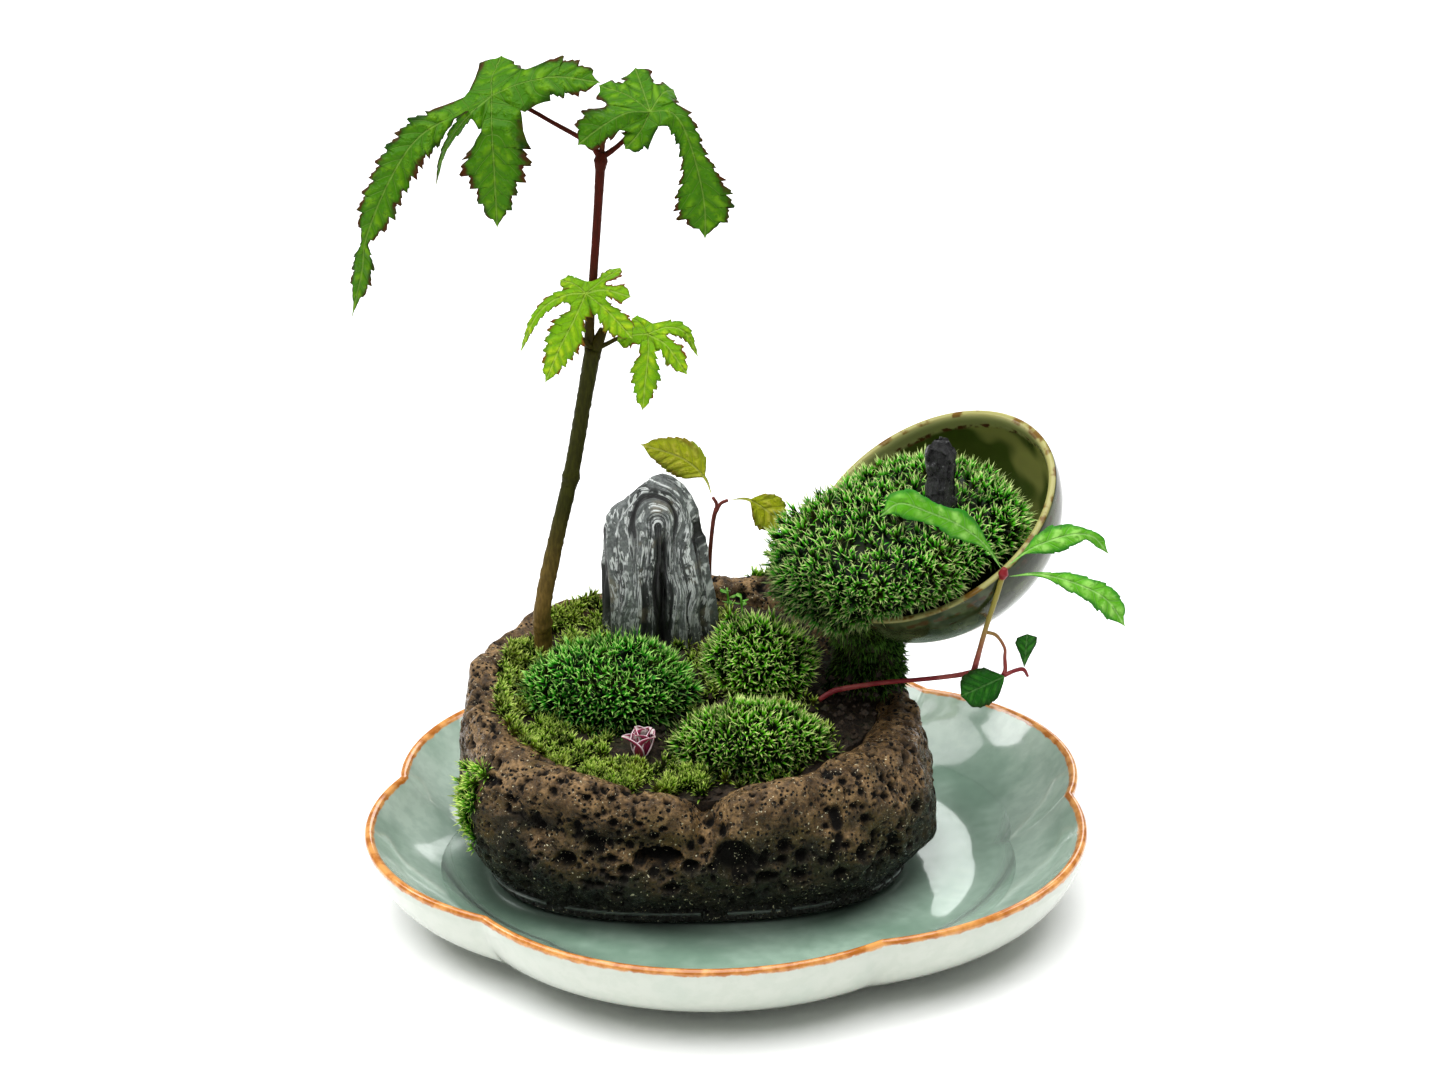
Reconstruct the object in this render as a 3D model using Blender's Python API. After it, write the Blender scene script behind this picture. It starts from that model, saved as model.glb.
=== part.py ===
"""Moss bowl garden.

A hollow piece of lava rock, planted with moss, a maple seedling, a ridged stone and small herbs,
stands in a little water on a six-lobed plate. A tipped tea cup full of moss stands on its back
rim, held by the roots and soil that run over the cup's low lip.

All sizes in this script are in millimetres. finish() turns them into metres for each object.
X runs to the right, Y away from the viewer and Z up. The plate's middle is the point (0, 0, 0) of
the sizes, and the whole garden hangs on an empty that sets the middle of its outline on the origin.
"""

import math
import random

import bmesh
import bpy
from mathutils import Matrix, Vector, noise

MM = 0.001
GAP = 0.35                      # clearance between touching pieces
SLANT_GAP = 0.5                 # sideways clearance that leaves the same gap on a slanting wall
CENTRE_SHIFT = (-3.7, 0.0)      # plate middle to the middle of the whole outline

# Plate: a plum-blossom dish with a foot ring
PLATE_RADIUS = 110.5
PLATE_NOTCHES = (0.8, 52.0, 109.0, 167.4, 226.1, 294.3)     # degrees at which two petals meet
PLATE_LOBE_DEPTH = 0.34         # share of the radius by which each petal's arc is moved outward
PLATE_STEPS = 66
PLATE_FLOOR = 8.0
PLATE_FLOOR_RADIUS = 76.0
FOOT_OUTER = 74.0
FOOT_INNER = 67.0
FOOT_RECESS = 3.2
WATER_LEVEL = 11.5
WATER_RADIUS = 84.0
WATER_EDGE = 0.5                # thickness of the water at its shore

# Lava rock: a shallow natural bowl, higher at the back
ROCK_CENTRE = (-10.0, 3.0)
ROCK_HALF_WIDTH = 72.0
ROCK_HALF_DEPTH = 55.0
ROCK_SQUARENESS = 2.5
ROCK_STEPS = 60
ROCK_FOOT_SHARE = 0.875
ROCK_SKIRT_TOP = 13.0
ROCK_BED = 22.0                 # height of the hollow's floor
ROCK_BED_SHARE = 0.66
ROCK_CREST_SHARE = 0.835
ROCK_LIP_SHARE = 0.77
ROCK_LIP_DROP = 1.6
ROCK_SHOULDER = 335.0           # degrees round the rock at which its rim is broadest
ROCK_SHOULDER_FLAT = 12.0       # degrees to each side over which it is as broad
ROCK_SHOULDER_SPREAD = 34.0     # degrees to each side at which it has its usual width
ROCK_SHOULDER_INWARD = 0.06     # share by which the rim's inner edge moves inward there
ROCK_CREST_INWARD = 0.4         # share of that move that the crest of the rim makes
ROCK_RIM = ((0, 51), (28, 55), (48, 67), (66, 77), (90, 79), (130, 74), (160, 67), (185, 62),
            (225, 55), (255, 49), (275, 47), (300, 52), (330, 53))     # (degrees, height)
PIT_COUNT = 29                  # tries at placing a burst gas bubble
PIT_SIZES = (1.7, 2.0, 2.4, 3.0, 4.2)
BIG_PIT = (282.0, 0.5, 7.5)     # (degrees, share of the way up, radius)

# Soil: its top is one slope that rises towards the back
SOIL_FRONT_LEVEL = 58.0
SOIL_SLOPE = 0.32

# Ridged stone: levels are (share of its height, shift to the right, half width)
RIDGE_STONE_PLACE = (-21.3, 33.0)
RIDGE_STONE_TOP = 120.0
RIDGE_STONE_BURIED = 6.0
RIDGE_STONE_FLATNESS = 0.47     # depth as a share of its width
RIDGE_STONE_LEVELS = ((0.0, 0.0, 16.0), (0.2, 0.2, 16.2), (0.4, 0.2, 15.8), (0.57, 0.0, 15.2),
                      (0.7, -0.8, 14.2), (0.8, -0.2, 12.0), (0.87, 1.5, 9.0), (0.93, 2.4, 6.2),
                      (0.98, 2.8, 3.0))

# Dark stone: levels are (share of its height, half width, half depth)
DARK_STONE_FOOT = (62.8, 5.0, 111.0)
DARK_STONE_HEIGHT = 29.5
DARK_STONE_LEVELS = ((0.0, 4.4, 4.0), (0.3, 5.4, 4.6), (0.6, 4.6, 4.2), (0.85, 4.8, 4.0),
                     (0.98, 2.6, 2.2))
DARK_STONE_SIDES = 8

# Tea cup: tipped towards the left and the front
CUP_MOUTH = (61.0, 28.0, 107.3)
CUP_AXIS = (-0.44, -0.35, 0.83)
CUP_STEPS = 32
CUP_OUTSIDE = ((41.2, -1.0), (40.8, -5.0), (39.0, -11.0), (35.0, -18.0), (28.0, -24.5),
               (19.5, -28.0), (18.5, -31.5), (15.8, -31.5), (15.0, -29.2))
CUP_INSIDE = ((40.6, -0.1), (39.4, 0.0), (38.5, -1.5), (38.1, -5.0), (36.4, -10.5), (32.6, -16.5),
              (26.0, -22.0), (17.0, -25.4))
CUP_FLOOR = -26.2
CUP_SOIL_UP = (-0.15, -0.10, 0.98)      # the soil in the cup lies almost level
CUP_SOIL_LEVEL = (36.0, 9.0, 88.0)
CUP_SOIL_HEAP = 14.0
AIR_SIZE = 120.0
ROOT_PATH = ((40.5, 23, 50), (41.5, 22, 61), (42.5, 18, 72), (38.5, 11.5, 81), (34, 7, 90))
ROOT_RADII = (12, 9.5, 8.0, 8.0, 7.0)
CUP_MOSS_MIDDLE = (51.5, 17.0, 102.2)
CUP_MOSS_HALF = (39.0, 32.5, 17.2)
CUP_MOSS_SQUARENESS = 2.6
CUP_MOSS_POINTS = 190
CUP_MOSS_DENT = 0.21            # share by which it draws back from the lip at its front
CUP_MOSS_DENT_WAY = (-0.37, -0.69, -0.62)
CUP_MOSS_WALL = 0.8             # depth by which the soil is cut into the moss

# Pink sprout
SPROUT_PLACE = (-26.0, -20.0)
SPROUT_HEART = 2.0
SPROUT_LEAVES = 6
SPROUT_TALL = 9.0
SPROUT_LOW = 6.8

MOSS_TIP = 3.4                  # height of one tuft above the cushion
BLADE = 0.7                     # thickness of a leaf
LEAF_DENT = 0.72                # half width between two teeth, as a share of that at a tooth
TOOTH_LEAN = 0.35               # share of the half width by which a tooth points to the tip
LEAF_DROOP = 0.12               # share of the half width by which the margins hang
LOBE_ROOM = 0.45                # share of the way to the next lobe's rib that a lobe may fill
LOBE_PARTING = 1.0              # way that stays free between a broad lobe and a thin one
LOBE_WEB = 0.7                  # share of a lobe that the web to the next lobe may reach
WEB_DEPTH = 0.58                # 0.5 puts the notch half way between the ends of two webs
LEAF_STATIONS = 7               # places along a lobe where its edge turns
STATION_STEP = 3.2              # least distance between them on a short lobe
SEED = 11

GREEN_DARK = (0.045, 0.16, 0.02)
GREEN_MOSS = (0.10, 0.27, 0.03)
GREEN_OLIVE = (0.16, 0.22, 0.03)
GREEN_LEAF = (0.09, 0.26, 0.02)
GREEN_YOUNG = (0.30, 0.48, 0.05)


def clear_scene():
    for obj in list(bpy.data.objects):
        bpy.data.objects.remove(obj)


def principled(name, colour, roughness, metallic=0.0, alpha=1.0):
    material = bpy.data.materials.new(name)
    material.use_nodes = True
    shader = material.node_tree.nodes["Principled BSDF"]
    shader.inputs["Base Color"].default_value = (*colour, 1.0)
    shader.inputs["Roughness"].default_value = roughness
    shader.inputs["Metallic"].default_value = metallic
    shader.inputs["Alpha"].default_value = alpha
    return material


def finish(name, bm, smooth=False):
    """Turn a bmesh in millimetres into an object in metres, of triangles that all face out.

    The triangles are made here, so that a piece and the tool made from it bend alike.
    """
    bmesh.ops.triangulate(bm, faces=bm.faces)
    bmesh.ops.recalc_face_normals(bm, faces=bm.faces)
    bmesh.ops.scale(bm, vec=(MM, MM, MM), verts=bm.verts)
    mesh = bpy.data.meshes.new(name)
    bm.to_mesh(mesh)
    bm.free()
    obj = bpy.data.objects.new(name, mesh)
    bpy.context.scene.collection.objects.link(obj)
    if smooth:
        mesh.shade_smooth()
        mesh.set_sharp_from_angle(angle=math.radians(35))
    return obj


def apply_modifiers(obj):
    depsgraph = bpy.context.evaluated_depsgraph_get()
    mesh = bpy.data.meshes.new_from_object(obj.evaluated_get(depsgraph))
    obj.modifiers.clear()
    obj.data = mesh
    return obj


def combine(obj, others, operation, solver="EXACT"):
    """Join the other objects to this one, or cut them from it, and remove them."""
    group = bpy.data.collections.new(obj.name + "_tools")
    bpy.context.scene.collection.children.link(group)
    for other in others:
        group.objects.link(other)
    step = obj.modifiers.new(operation.lower(), "BOOLEAN")
    step.operation = operation
    step.operand_type = "COLLECTION"
    step.collection = group
    step.solver = solver
    apply_modifiers(obj)
    for other in others:
        bpy.data.objects.remove(other)
    bpy.data.collections.remove(group)
    return obj


def swollen(obj, amount):
    """A copy of an object with its surface moved out, to cut its seat with."""
    mesh = obj.data.copy()
    bm = bmesh.new()
    bm.from_mesh(mesh)
    bmesh.ops.triangulate(bm, faces=bm.faces)
    bm.normal_update()
    moves = [vert.normal * amount * MM for vert in bm.verts]
    for vert, move in zip(bm.verts, moves):
        vert.co += move
    bm.to_mesh(mesh)
    bm.free()
    copy = bpy.data.objects.new(obj.name + "_cutter", mesh)
    bpy.context.scene.collection.objects.link(copy)
    return copy


def loft(rings, bottom=None, top=None, closed=False):
    """Skin a row of rings of as many points each, closed with fans or into a torus."""
    bm = bmesh.new()
    rows = [[bm.verts.new(point) for point in ring] for ring in rings]
    pairs = list(zip(rows, rows[1:]))
    if closed:
        pairs.append((rows[-1], rows[0]))
    count = len(rows[0])
    for low, high in pairs:
        for i in range(count):
            j = (i + 1) % count
            bm.faces.new((low[i], low[j], high[j], high[i]))
    for row, point in ((rows[0], bottom), (rows[-1], top)):
        if point is None:
            continue
        middle = bm.verts.new(point)
        for i in range(count):
            bm.faces.new((row[i], row[(i + 1) % count], middle))
    return bm


def smooth_step(low, high, value):
    share = min(max((value - low) / (high - low), 0.0), 1.0)
    return share * share * (3.0 - 2.0 * share)


def through(points, share):
    """Point of a smooth curve through the given points, at a share of its length."""
    points = [Vector(point) for point in points]
    lengths = [0.0]
    for a, b in zip(points, points[1:]):
        lengths.append(lengths[-1] + (b - a).length)
    place = min(max(share, 0.0), 1.0) * lengths[-1]
    i = 0
    while i < len(points) - 2 and lengths[i + 1] < place:
        i += 1
    t = (place - lengths[i]) / (lengths[i + 1] - lengths[i])
    a = points[i]
    b = points[i + 1]
    before = points[i - 1] if i else a * 2 - b
    after = points[i + 2] if i + 2 < len(points) else b * 2 - a
    return 0.5 * (2 * a + (b - before) * t + (2 * before - 5 * a + 4 * b - after) * t * t
                  + (3 * a - before - 3 * b + after) * t ** 3)


def arc_length(points, steps=24):
    spots = [through(points, i / steps) for i in range(steps + 1)]
    return sum((b - a).length for a, b in zip(spots, spots[1:]))


def between(values, share):
    """Straight-line value between evenly spaced numbers."""
    place = min(max(share, 0.0), 1.0) * (len(values) - 1)
    i = min(int(place), len(values) - 2)
    return values[i] + (values[i + 1] - values[i]) * (place - i)


# Plate and water

def petal_place(i, steps):
    """Angle of a ring's point and the petal's radius there, as a share of the full radius."""
    petals = len(PLATE_NOTCHES)
    petal, step = divmod(i % steps, steps // petals)
    share = step * petals / steps
    low = PLATE_NOTCHES[petal]
    high = PLATE_NOTCHES[petal + 1] if petal + 1 < petals else PLATE_NOTCHES[0] + 360
    t = (share - 0.5) * 2 * math.pi / petals
    c = PLATE_LOBE_DEPTH
    reach = c * math.cos(t) + math.sqrt((1 - c) ** 2 - (c * math.sin(t)) ** 2)
    return math.radians(low + (high - low) * share), reach


def plate_point(i, radius, height, steps=PLATE_STEPS):
    """Point of a plate ring: round in the middle of the plate, lobed towards its rim."""
    angle, share = petal_place(i, steps)
    weight = smooth_step(50.0, PLATE_RADIUS, radius)
    reach = radius * (1 + weight * (share - 1))
    return Vector((reach * math.cos(angle), reach * math.sin(angle), height))


def plate():
    profile = ((FOOT_INNER - 2, FOOT_RECESS), (FOOT_INNER, 0.0), (FOOT_OUTER, 0.0), (79.0, 2.4),
               (92.0, 5.2), (101.5, 9.8), (107.6, 16.5), (110.6, 24.0), (110.4, 26.6),
               (108.6, 27.0),
               (106.4, 24.8), (99.4, 18.0), (88.5, 11.6), (PLATE_FLOOR_RADIUS, PLATE_FLOOR))
    rings = [[plate_point(i, radius, height) for i in range(PLATE_STEPS)]
             for radius, height in profile]
    bm = loft(rings, bottom=(0, 0, FOOT_RECESS), top=(0, 0, PLATE_FLOOR))
    return finish("plate", bm, smooth=True)


def water():
    """The pool round the foot of the rock, lying on the plate's floor."""
    steps = PLATE_STEPS
    angles = [petal_place(i, steps)[0] for i in range(steps)]
    rock = [rock_outline(angle, ROCK_FOOT_SHARE, SLANT_GAP) for angle in angles]
    low = PLATE_FLOOR + GAP
    inner_low = [Vector((x, y, low)) for x, y in rock]
    inner_high = [Vector((x, y, WATER_LEVEL)) for x, y in rock]
    floor_edge = [plate_point(i, PLATE_FLOOR_RADIUS - 1, low) for i in range(steps)]
    shore_low = [plate_point(i, WATER_RADIUS, WATER_LEVEL - WATER_EDGE) for i in range(steps)]
    shore_high = [plate_point(i, WATER_RADIUS, WATER_LEVEL) for i in range(steps)]
    bm = loft([inner_high, inner_low, floor_edge, shore_low, shore_high], closed=True)
    return finish("water", bm)


# Rock and soil

def rock_outline(angle, share, clear=0.0):
    """Plan point of the rock's rounded-square outline at a share of its full width."""
    c = abs(math.cos(angle)) / ROCK_HALF_WIDTH
    s = abs(math.sin(angle)) / ROCK_HALF_DEPTH
    radius = (c ** ROCK_SQUARENESS + s ** ROCK_SQUARENESS) ** (-1 / ROCK_SQUARENESS)
    reach = radius * share + clear
    return ROCK_CENTRE[0] + reach * math.cos(angle), ROCK_CENTRE[1] + reach * math.sin(angle)


def lip_share(angle):
    """Share of the way out to the rim's inner edge, which moves inward where the rim is broad."""
    off = abs((math.degrees(angle) - ROCK_SHOULDER + 180) % 360 - 180)
    broad = 1 - smooth_step(ROCK_SHOULDER_FLAT, ROCK_SHOULDER_SPREAD, off)
    return ROCK_LIP_SHARE - ROCK_SHOULDER_INWARD * broad


def rim_height(angle):
    """Height of the rock's rim, eased between the measured heights round it."""
    degrees = math.degrees(angle) % 360
    spots = list(ROCK_RIM) + [(360, ROCK_RIM[0][1])]
    for (a, low), (b, high) in zip(spots, spots[1:]):
        if a <= degrees <= b:
            return low + (high - low) * smooth_step(a, b, degrees)
    return ROCK_RIM[0][1]


def lumps(point, size=26.0, depth=3.2):
    """Soft unevenness of the rock at a point."""
    spot = Vector(point) / size
    return depth * noise.noise(spot) + 0.4 * depth * noise.noise(spot * 2.7 + Vector((7, 3, 1)))


def rock_point(angle, share_up):
    """Point of the rock's outer face, from its foot (0) to its rim (1)."""
    low = ROCK_SKIRT_TOP
    height = low + (rim_height(angle) - low) * share_up
    bulge = between((ROCK_FOOT_SHARE, 0.955, 0.995, 1.0, 1.0, 0.985, 0.955, 0.905), share_up)
    x, y = rock_outline(angle, bulge)
    push = lumps((x, y, height)) * smooth_step(0.0, 0.25, share_up)
    x, y = rock_outline(angle, bulge, push)
    return Vector((x, y, height + 0.5 * push * share_up))


def lava_rock():
    rng = random.Random(SEED)
    angles = [2 * math.pi * i / ROCK_STEPS for i in range(ROCK_STEPS)]
    foot = PLATE_FLOOR + GAP

    def level(share, height):
        return [Vector((*rock_outline(angle, share), height)) for angle in angles]

    rings = [level(ROCK_FOOT_SHARE - 0.04, foot), level(ROCK_FOOT_SHARE, foot + 1.5)]
    rings += [[rock_point(angle, k / 8) for angle in angles] for k in range(9)]
    crest = []
    for angle in angles:
        inward = ROCK_CREST_INWARD * (ROCK_LIP_SHARE - lip_share(angle))
        x, y = rock_outline(angle, ROCK_CREST_SHARE - inward)
        crest.append(Vector((x, y, rim_height(angle) + 0.9 + 0.4 * lumps((x, y, 90.0)))))
    lip = [Vector((*rock_outline(angle, lip_share(angle)), rim_height(angle) - ROCK_LIP_DROP))
           for angle in angles]
    rings += [crest, lip, level(ROCK_BED_SHARE, ROCK_BED)]
    middle = (*ROCK_CENTRE, foot)
    bm = loft(rings, bottom=middle, top=(*ROCK_CENTRE, ROCK_BED))
    rock = finish("lava_rock", bm)
    degrees, share_up, radius = BIG_PIT
    pits = [(rock_point(math.radians(degrees), share_up), radius)]
    for i in range(PIT_COUNT):
        angle = math.radians(200 + 150 * rng.random()) if i % 3 else 2 * math.pi * rng.random()
        radius = rng.choice(PIT_SIZES)
        spot = rock_point(angle, 0.16 + 0.74 * rng.random())
        if all((spot - place).length > radius + size + 0.6 for place, size in pits):
            pits.append((spot, radius))
    bubbles = []
    for spot, radius in pits:
        bubble = bmesh.new()
        bmesh.ops.create_icosphere(bubble, subdivisions=1, radius=radius)
        bmesh.ops.translate(bubble, vec=spot, verts=bubble.verts)
        bubbles.append(finish("pit", bubble))
    return rock, bubbles


def soil_level(x, y):
    return SOIL_FRONT_LEVEL + SOIL_SLOPE * y


def soil():
    """Fills the rock's hollow up to the slope, just clear of the rock all round."""
    angles = [2 * math.pi * i / ROCK_STEPS for i in range(ROCK_STEPS)]
    low = []
    high = []
    for angle in angles:
        bed = Vector((*rock_outline(angle, ROCK_BED_SHARE), ROCK_BED))
        lip = Vector((*rock_outline(angle, lip_share(angle)), rim_height(angle) - ROCK_LIP_DROP))
        wall = lip - bed
        t = (soil_level(bed.x, bed.y) - bed.z) / (wall.z - SOIL_SLOPE * wall.y)
        t = min(t, 0.985)
        inward = Vector((math.cos(angle), math.sin(angle), 0)) * SLANT_GAP
        low.append(bed - inward + Vector((0, 0, GAP)))
        high.append(bed + wall * t - inward)
    middle = (*ROCK_CENTRE, ROCK_BED + GAP)
    top = (*ROCK_CENTRE, soil_level(*ROCK_CENTRE))
    inner = [point.lerp(Vector(top), 0.4) for point in high]
    for point in inner:
        point.z = soil_level(point.x, point.y)
    return finish("soil", loft([low, high, inner], bottom=middle, top=top))


# Moss

def even_sphere(count):
    """Points spread evenly on a ball, joined by triangles."""
    bm = bmesh.new()
    turn = math.pi * (3 - math.sqrt(5))
    for i in range(count):
        z = 1 - 2 * (i + 0.5) / count
        radius = math.sqrt(1 - z * z)
        bm.verts.new((radius * math.cos(turn * i), radius * math.sin(turn * i), z))
    bmesh.ops.convex_hull(bm, input=bm.verts)
    return bm


def raise_tufts(bm, faces, height, rng, lowest=-1000.0):
    """Draw every face up into one pointed tuft, leaning a little its own way."""
    for face in faces:
        tall = height * rng.uniform(0.75, 1.2)
        lean = Vector([rng.uniform(-0.25, 0.25) for _ in range(3)]) * tall
        tip = face.calc_center_median() + face.normal * tall + lean + Vector((0, 0, 0.25 * tall))
        tip.z = max(tip.z, lowest)
        if (tip - face.calc_center_median()).dot(face.normal) < 0.5:
            continue
        made = bmesh.ops.poke(bm, faces=[face])
        made["verts"][0].co = tip


def moss_dome(name, place, half_width, half_depth, height, tufts, tip):
    """A cushion of moss on the soil slope: a low dome that its tufts stand out of."""
    rng = random.Random(SEED + tufts)
    bm = even_sphere(tufts + 2)
    for vert in bm.verts:
        swell = 1 + 0.10 * noise.noise(vert.co * 1.6 + Vector((len(name), place[0], 0)))
        vert.co = Vector((vert.co.x * (half_width - tip), vert.co.y * (half_depth - tip),
                          vert.co.z * (height - tip))) * swell
    bmesh.ops.bisect_plane(bm, geom=bm.verts[:] + bm.edges[:] + bm.faces[:], plane_co=(0, 0, 0),
                           plane_no=(0, 0, -1), clear_outer=True, dist=0.01)
    bmesh.ops.holes_fill(bm, edges=[edge for edge in bm.edges if edge.is_boundary])
    bmesh.ops.recalc_face_normals(bm, faces=bm.faces)
    dome = [face for face in bm.faces if face.normal.z > -0.5 and face.calc_area() > 2.0]
    raise_tufts(bm, dome, tip, rng, lowest=0.3)
    slope = Matrix.Rotation(math.atan(SOIL_SLOPE), 4, "X")
    foot = Vector((*place, soil_level(*place) + GAP / math.cos(math.atan(SOIL_SLOPE))))
    bmesh.ops.transform(bm, verts=bm.verts, matrix=Matrix.Translation(foot) @ slope)
    return finish(name, bm)


def moss_on_soil():
    """Three cushions and two low carpets."""
    rows = (("moss_cushion_left", (-35.5, 5.5), 27.0, 19.5, 18.0, 250, GREEN_DARK),
            ("moss_cushion_back", (9.3, 16.5), 18.6, 16.5, 16.5, 170, GREEN_MOSS),
            ("moss_cushion_front", (6.2, -18.5), 24.3, 15.0, 16.0, 205, GREEN_MOSS),
            ("moss_carpet_left", (-52.6, -16.0), 6.6, 9.0, 4.5, 54, GREEN_OLIVE),
            ("moss_carpet_front", (-33.0, -27.5), 13.0, 7.0, 4.5, 74, GREEN_OLIVE))
    for name, place, half_width, half_depth, height, tufts, colour in rows:
        tip = min(MOSS_TIP, 0.5 * height)
        cushion = moss_dome(name, place, half_width, half_depth, height, tufts, tip)
        cushion.data.materials.append(principled(name, colour, 0.9))


# Stones

def ridged_stone():
    """An upright stone with a shoulder on its left and grooves that run from top to foot."""
    x, y = RIDGE_STONE_PLACE
    foot = soil_level(x, y) - RIDGE_STONE_BURIED
    tall = RIDGE_STONE_TOP - foot
    steps = 40
    rings = []
    for share, shift, half_width in RIDGE_STONE_LEVELS:
        ring = []
        for i in range(steps):
            angle = 2 * math.pi * i / steps
            c = math.cos(angle)
            s = math.sin(angle)
            groove = 0.07 * math.sin(9 * angle + 2.0) + 0.05 * math.sin(17 * angle + 4 * share)
            rough = 0.10 * noise.noise(Vector((2 * c, 2 * s, 3 * share)))
            reach = half_width * (1 + groove * (1 - 0.4 * share) + rough)
            ring.append(Vector((x + shift + reach * c, y + RIDGE_STONE_FLATNESS * reach * s,
                                foot + tall * share)))
        rings.append(ring)
    peak = x + RIDGE_STONE_LEVELS[-1][1]
    bm = loft(rings, bottom=(x, y, foot), top=(peak, y, foot + tall))
    return finish("ridge_stone", bm)


def dark_stone():
    """A small upright stone among the moss of the cup."""
    rng = random.Random(SEED)
    x, y, foot = DARK_STONE_FOOT
    rings = []
    for share, half_width, half_depth in DARK_STONE_LEVELS:
        ring = []
        for i in range(DARK_STONE_SIDES):
            angle = 2 * math.pi * i / DARK_STONE_SIDES + 0.5 * share
            reach = rng.uniform(0.86, 1.12)
            ring.append(Vector((x + 0.6 * share + reach * half_width * math.cos(angle),
                                y + reach * half_depth * math.sin(angle),
                                foot + DARK_STONE_HEIGHT * share)))
        rings.append(ring)
    bm = loft(rings, bottom=(x, y, foot), top=(x + 0.6, y, foot + DARK_STONE_HEIGHT))
    return finish("dark_stone", bm)


# Stems

def tube(name, points, radii, steps=None, sides=1):
    """A round stem through the points, with its thickness eased along it and its ends closed."""
    steps = steps or 2 * len(points)
    curve = bpy.data.curves.new(name, "CURVE")
    curve.dimensions = "3D"
    curve.bevel_depth = MM
    curve.bevel_resolution = sides
    curve.use_fill_caps = True
    spline = curve.splines.new("POLY")
    spline.points.add(steps)
    for i, point in enumerate(spline.points):
        spot = through(points, i / steps) * MM
        point.co = (*spot, 1.0)
        point.radius = between(radii, i / steps)
    source = bpy.data.objects.new(name, curve)
    bpy.context.scene.collection.objects.link(source)
    depsgraph = bpy.context.evaluated_depsgraph_get()
    mesh = bpy.data.meshes.new_from_object(source.evaluated_get(depsgraph))
    bpy.data.objects.remove(source)
    bm = bmesh.new()
    bm.from_mesh(mesh)
    bmesh.ops.remove_doubles(bm, verts=bm.verts, dist=0.01 * MM)
    bmesh.ops.triangulate(bm, faces=bm.faces)
    bmesh.ops.recalc_face_normals(bm, faces=bm.faces)
    bm.to_mesh(mesh)
    bm.free()
    obj = bpy.data.objects.new(name, mesh)
    bpy.context.scene.collection.objects.link(obj)
    return obj


def maple_stem():
    """Woody stem cut back above the low leaves, the red shoot that took over, and its stalks."""
    trunk = tube("maple_stem", ((-55.5, 26, 62), (-55.5, 25, 72), (-54.9, 20.5, 84), (-50, 20, 106),
                                (-45.3, 20, 125), (-41, 20, 147), (-37.6, 20, 164.5)),
                 (2.6, 2.6, 2.5, 2.3, 2.35, 2.3, 2.5), steps=14, sides=2)
    parts = [
        tube("stub", ((-37.9, 20, 162), (-36.4, 20, 166), (-34.4, 20, 170.5)), (2.3, 1.9, 1.3)),
        tube("ring_node", ((-45.9, 20, 122.2), (-45.3, 20, 124.5), (-44.8, 20, 126.8)),
             (2.1, 3.0, 2.1)),
        tube("shoot", ((-38.6, 20.5, 163), (-38.4, 20, 172), (-37, 20, 186), (-35.2, 20, 205),
                       (-33.8, 20, 221.5)), (1.6, 1.3, 1.3, 1.35, 1.5), steps=8),
        tube("fork_node", ((-34, 20, 219), (-33.7, 20, 222), (-33.4, 20, 224.6)), (1.5, 2.1, 1.2)),
        tube("bud", ((-33.6, 20, 223), (-33.2, 20, 226), (-32.4, 20, 229.5)), (0.9, 0.8, 0.5)),
        tube("stalk_left", ((-33.8, 20, 222.6), (-37, 20.2, 227), (-47, 20.6, 233.2),
                            (-57, 21, 239), (-63.6, 20.6, 240.4)), (1.0, 0.75, 0.65, 0.65, 0.6)),
        tube("stalk_right", ((-33.4, 20, 222.8), (-28.4, 20.8, 226.2), (-23, 22, 231.5),
                             (-20, 22.2, 234.6)), (1.0, 0.75, 0.65, 0.6)),
        tube("stalk_low_left", ((-38.4, 19, 165.5), (-41.6, 15.2, 171), (-42, 13.8, 177),
                                (-39.8, 15.4, 181.6)), (0.9, 0.65, 0.6, 0.6)),
        tube("stalk_low_right", ((-37, 19.6, 164.6), (-33.8, 19.6, 166), (-29.6, 19.4, 168),
                                 (-25, 18.2, 168.4), (-21.8, 16.9, 168.6)),
             (0.9, 0.7, 0.6, 0.6, 0.6)),
    ]
    return combine(trunk, parts, "UNION")


def sprig_stem():
    """A low red runner that reaches out over the plate, then turns up green to its leaves."""
    runner = tube("sprig_stem", ((25.7, 0.6, 53.5), (28.2, 1.4, 58.6), (33, 2, 62), (45, 0.4, 64.6),
                                 (57, -2.6, 66.8), (67, -4.8, 68.8), (73.4, -6, 70.6)),
                  (0.8, 0.8, 0.75, 0.7, 0.7, 0.75, 0.85), steps=14)
    parts = [
        tube("upright", ((72.6, -5.9, 70.4), (73.4, -6.2, 74), (75.8, -7, 84), (78.6, -8, 94),
                         (80.9, -9, 102.6)), (1.0, 0.85, 0.8, 0.8, 0.8), steps=9),
        tube("red_node", ((80.5, -8.9, 101), (80.9, -9, 102.8), (81.3, -9.1, 104.6)),
             (0.8, 1.7, 0.8)),
        tube("side_stalk", ((75.8, -7, 83.6), (79.2, -5.6, 81.8), (81.7, -4.6, 77.4),
                            (81.8, -4.4, 74), (81.9, -5.6, 71.0), (81.2, -7, 69.6)),
             (0.65, 0.6, 0.6, 0.6, 0.65, 0.7), steps=10),
        tube("twig", ((81.4, -7.2, 69.6), (84.6, -6.6, 70.8), (87.2, -6, 70.9), (88.6, -6, 68.6)),
             (0.7, 0.65, 0.65, 0.6)),
    ]
    return combine(runner, parts, "UNION")


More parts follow.
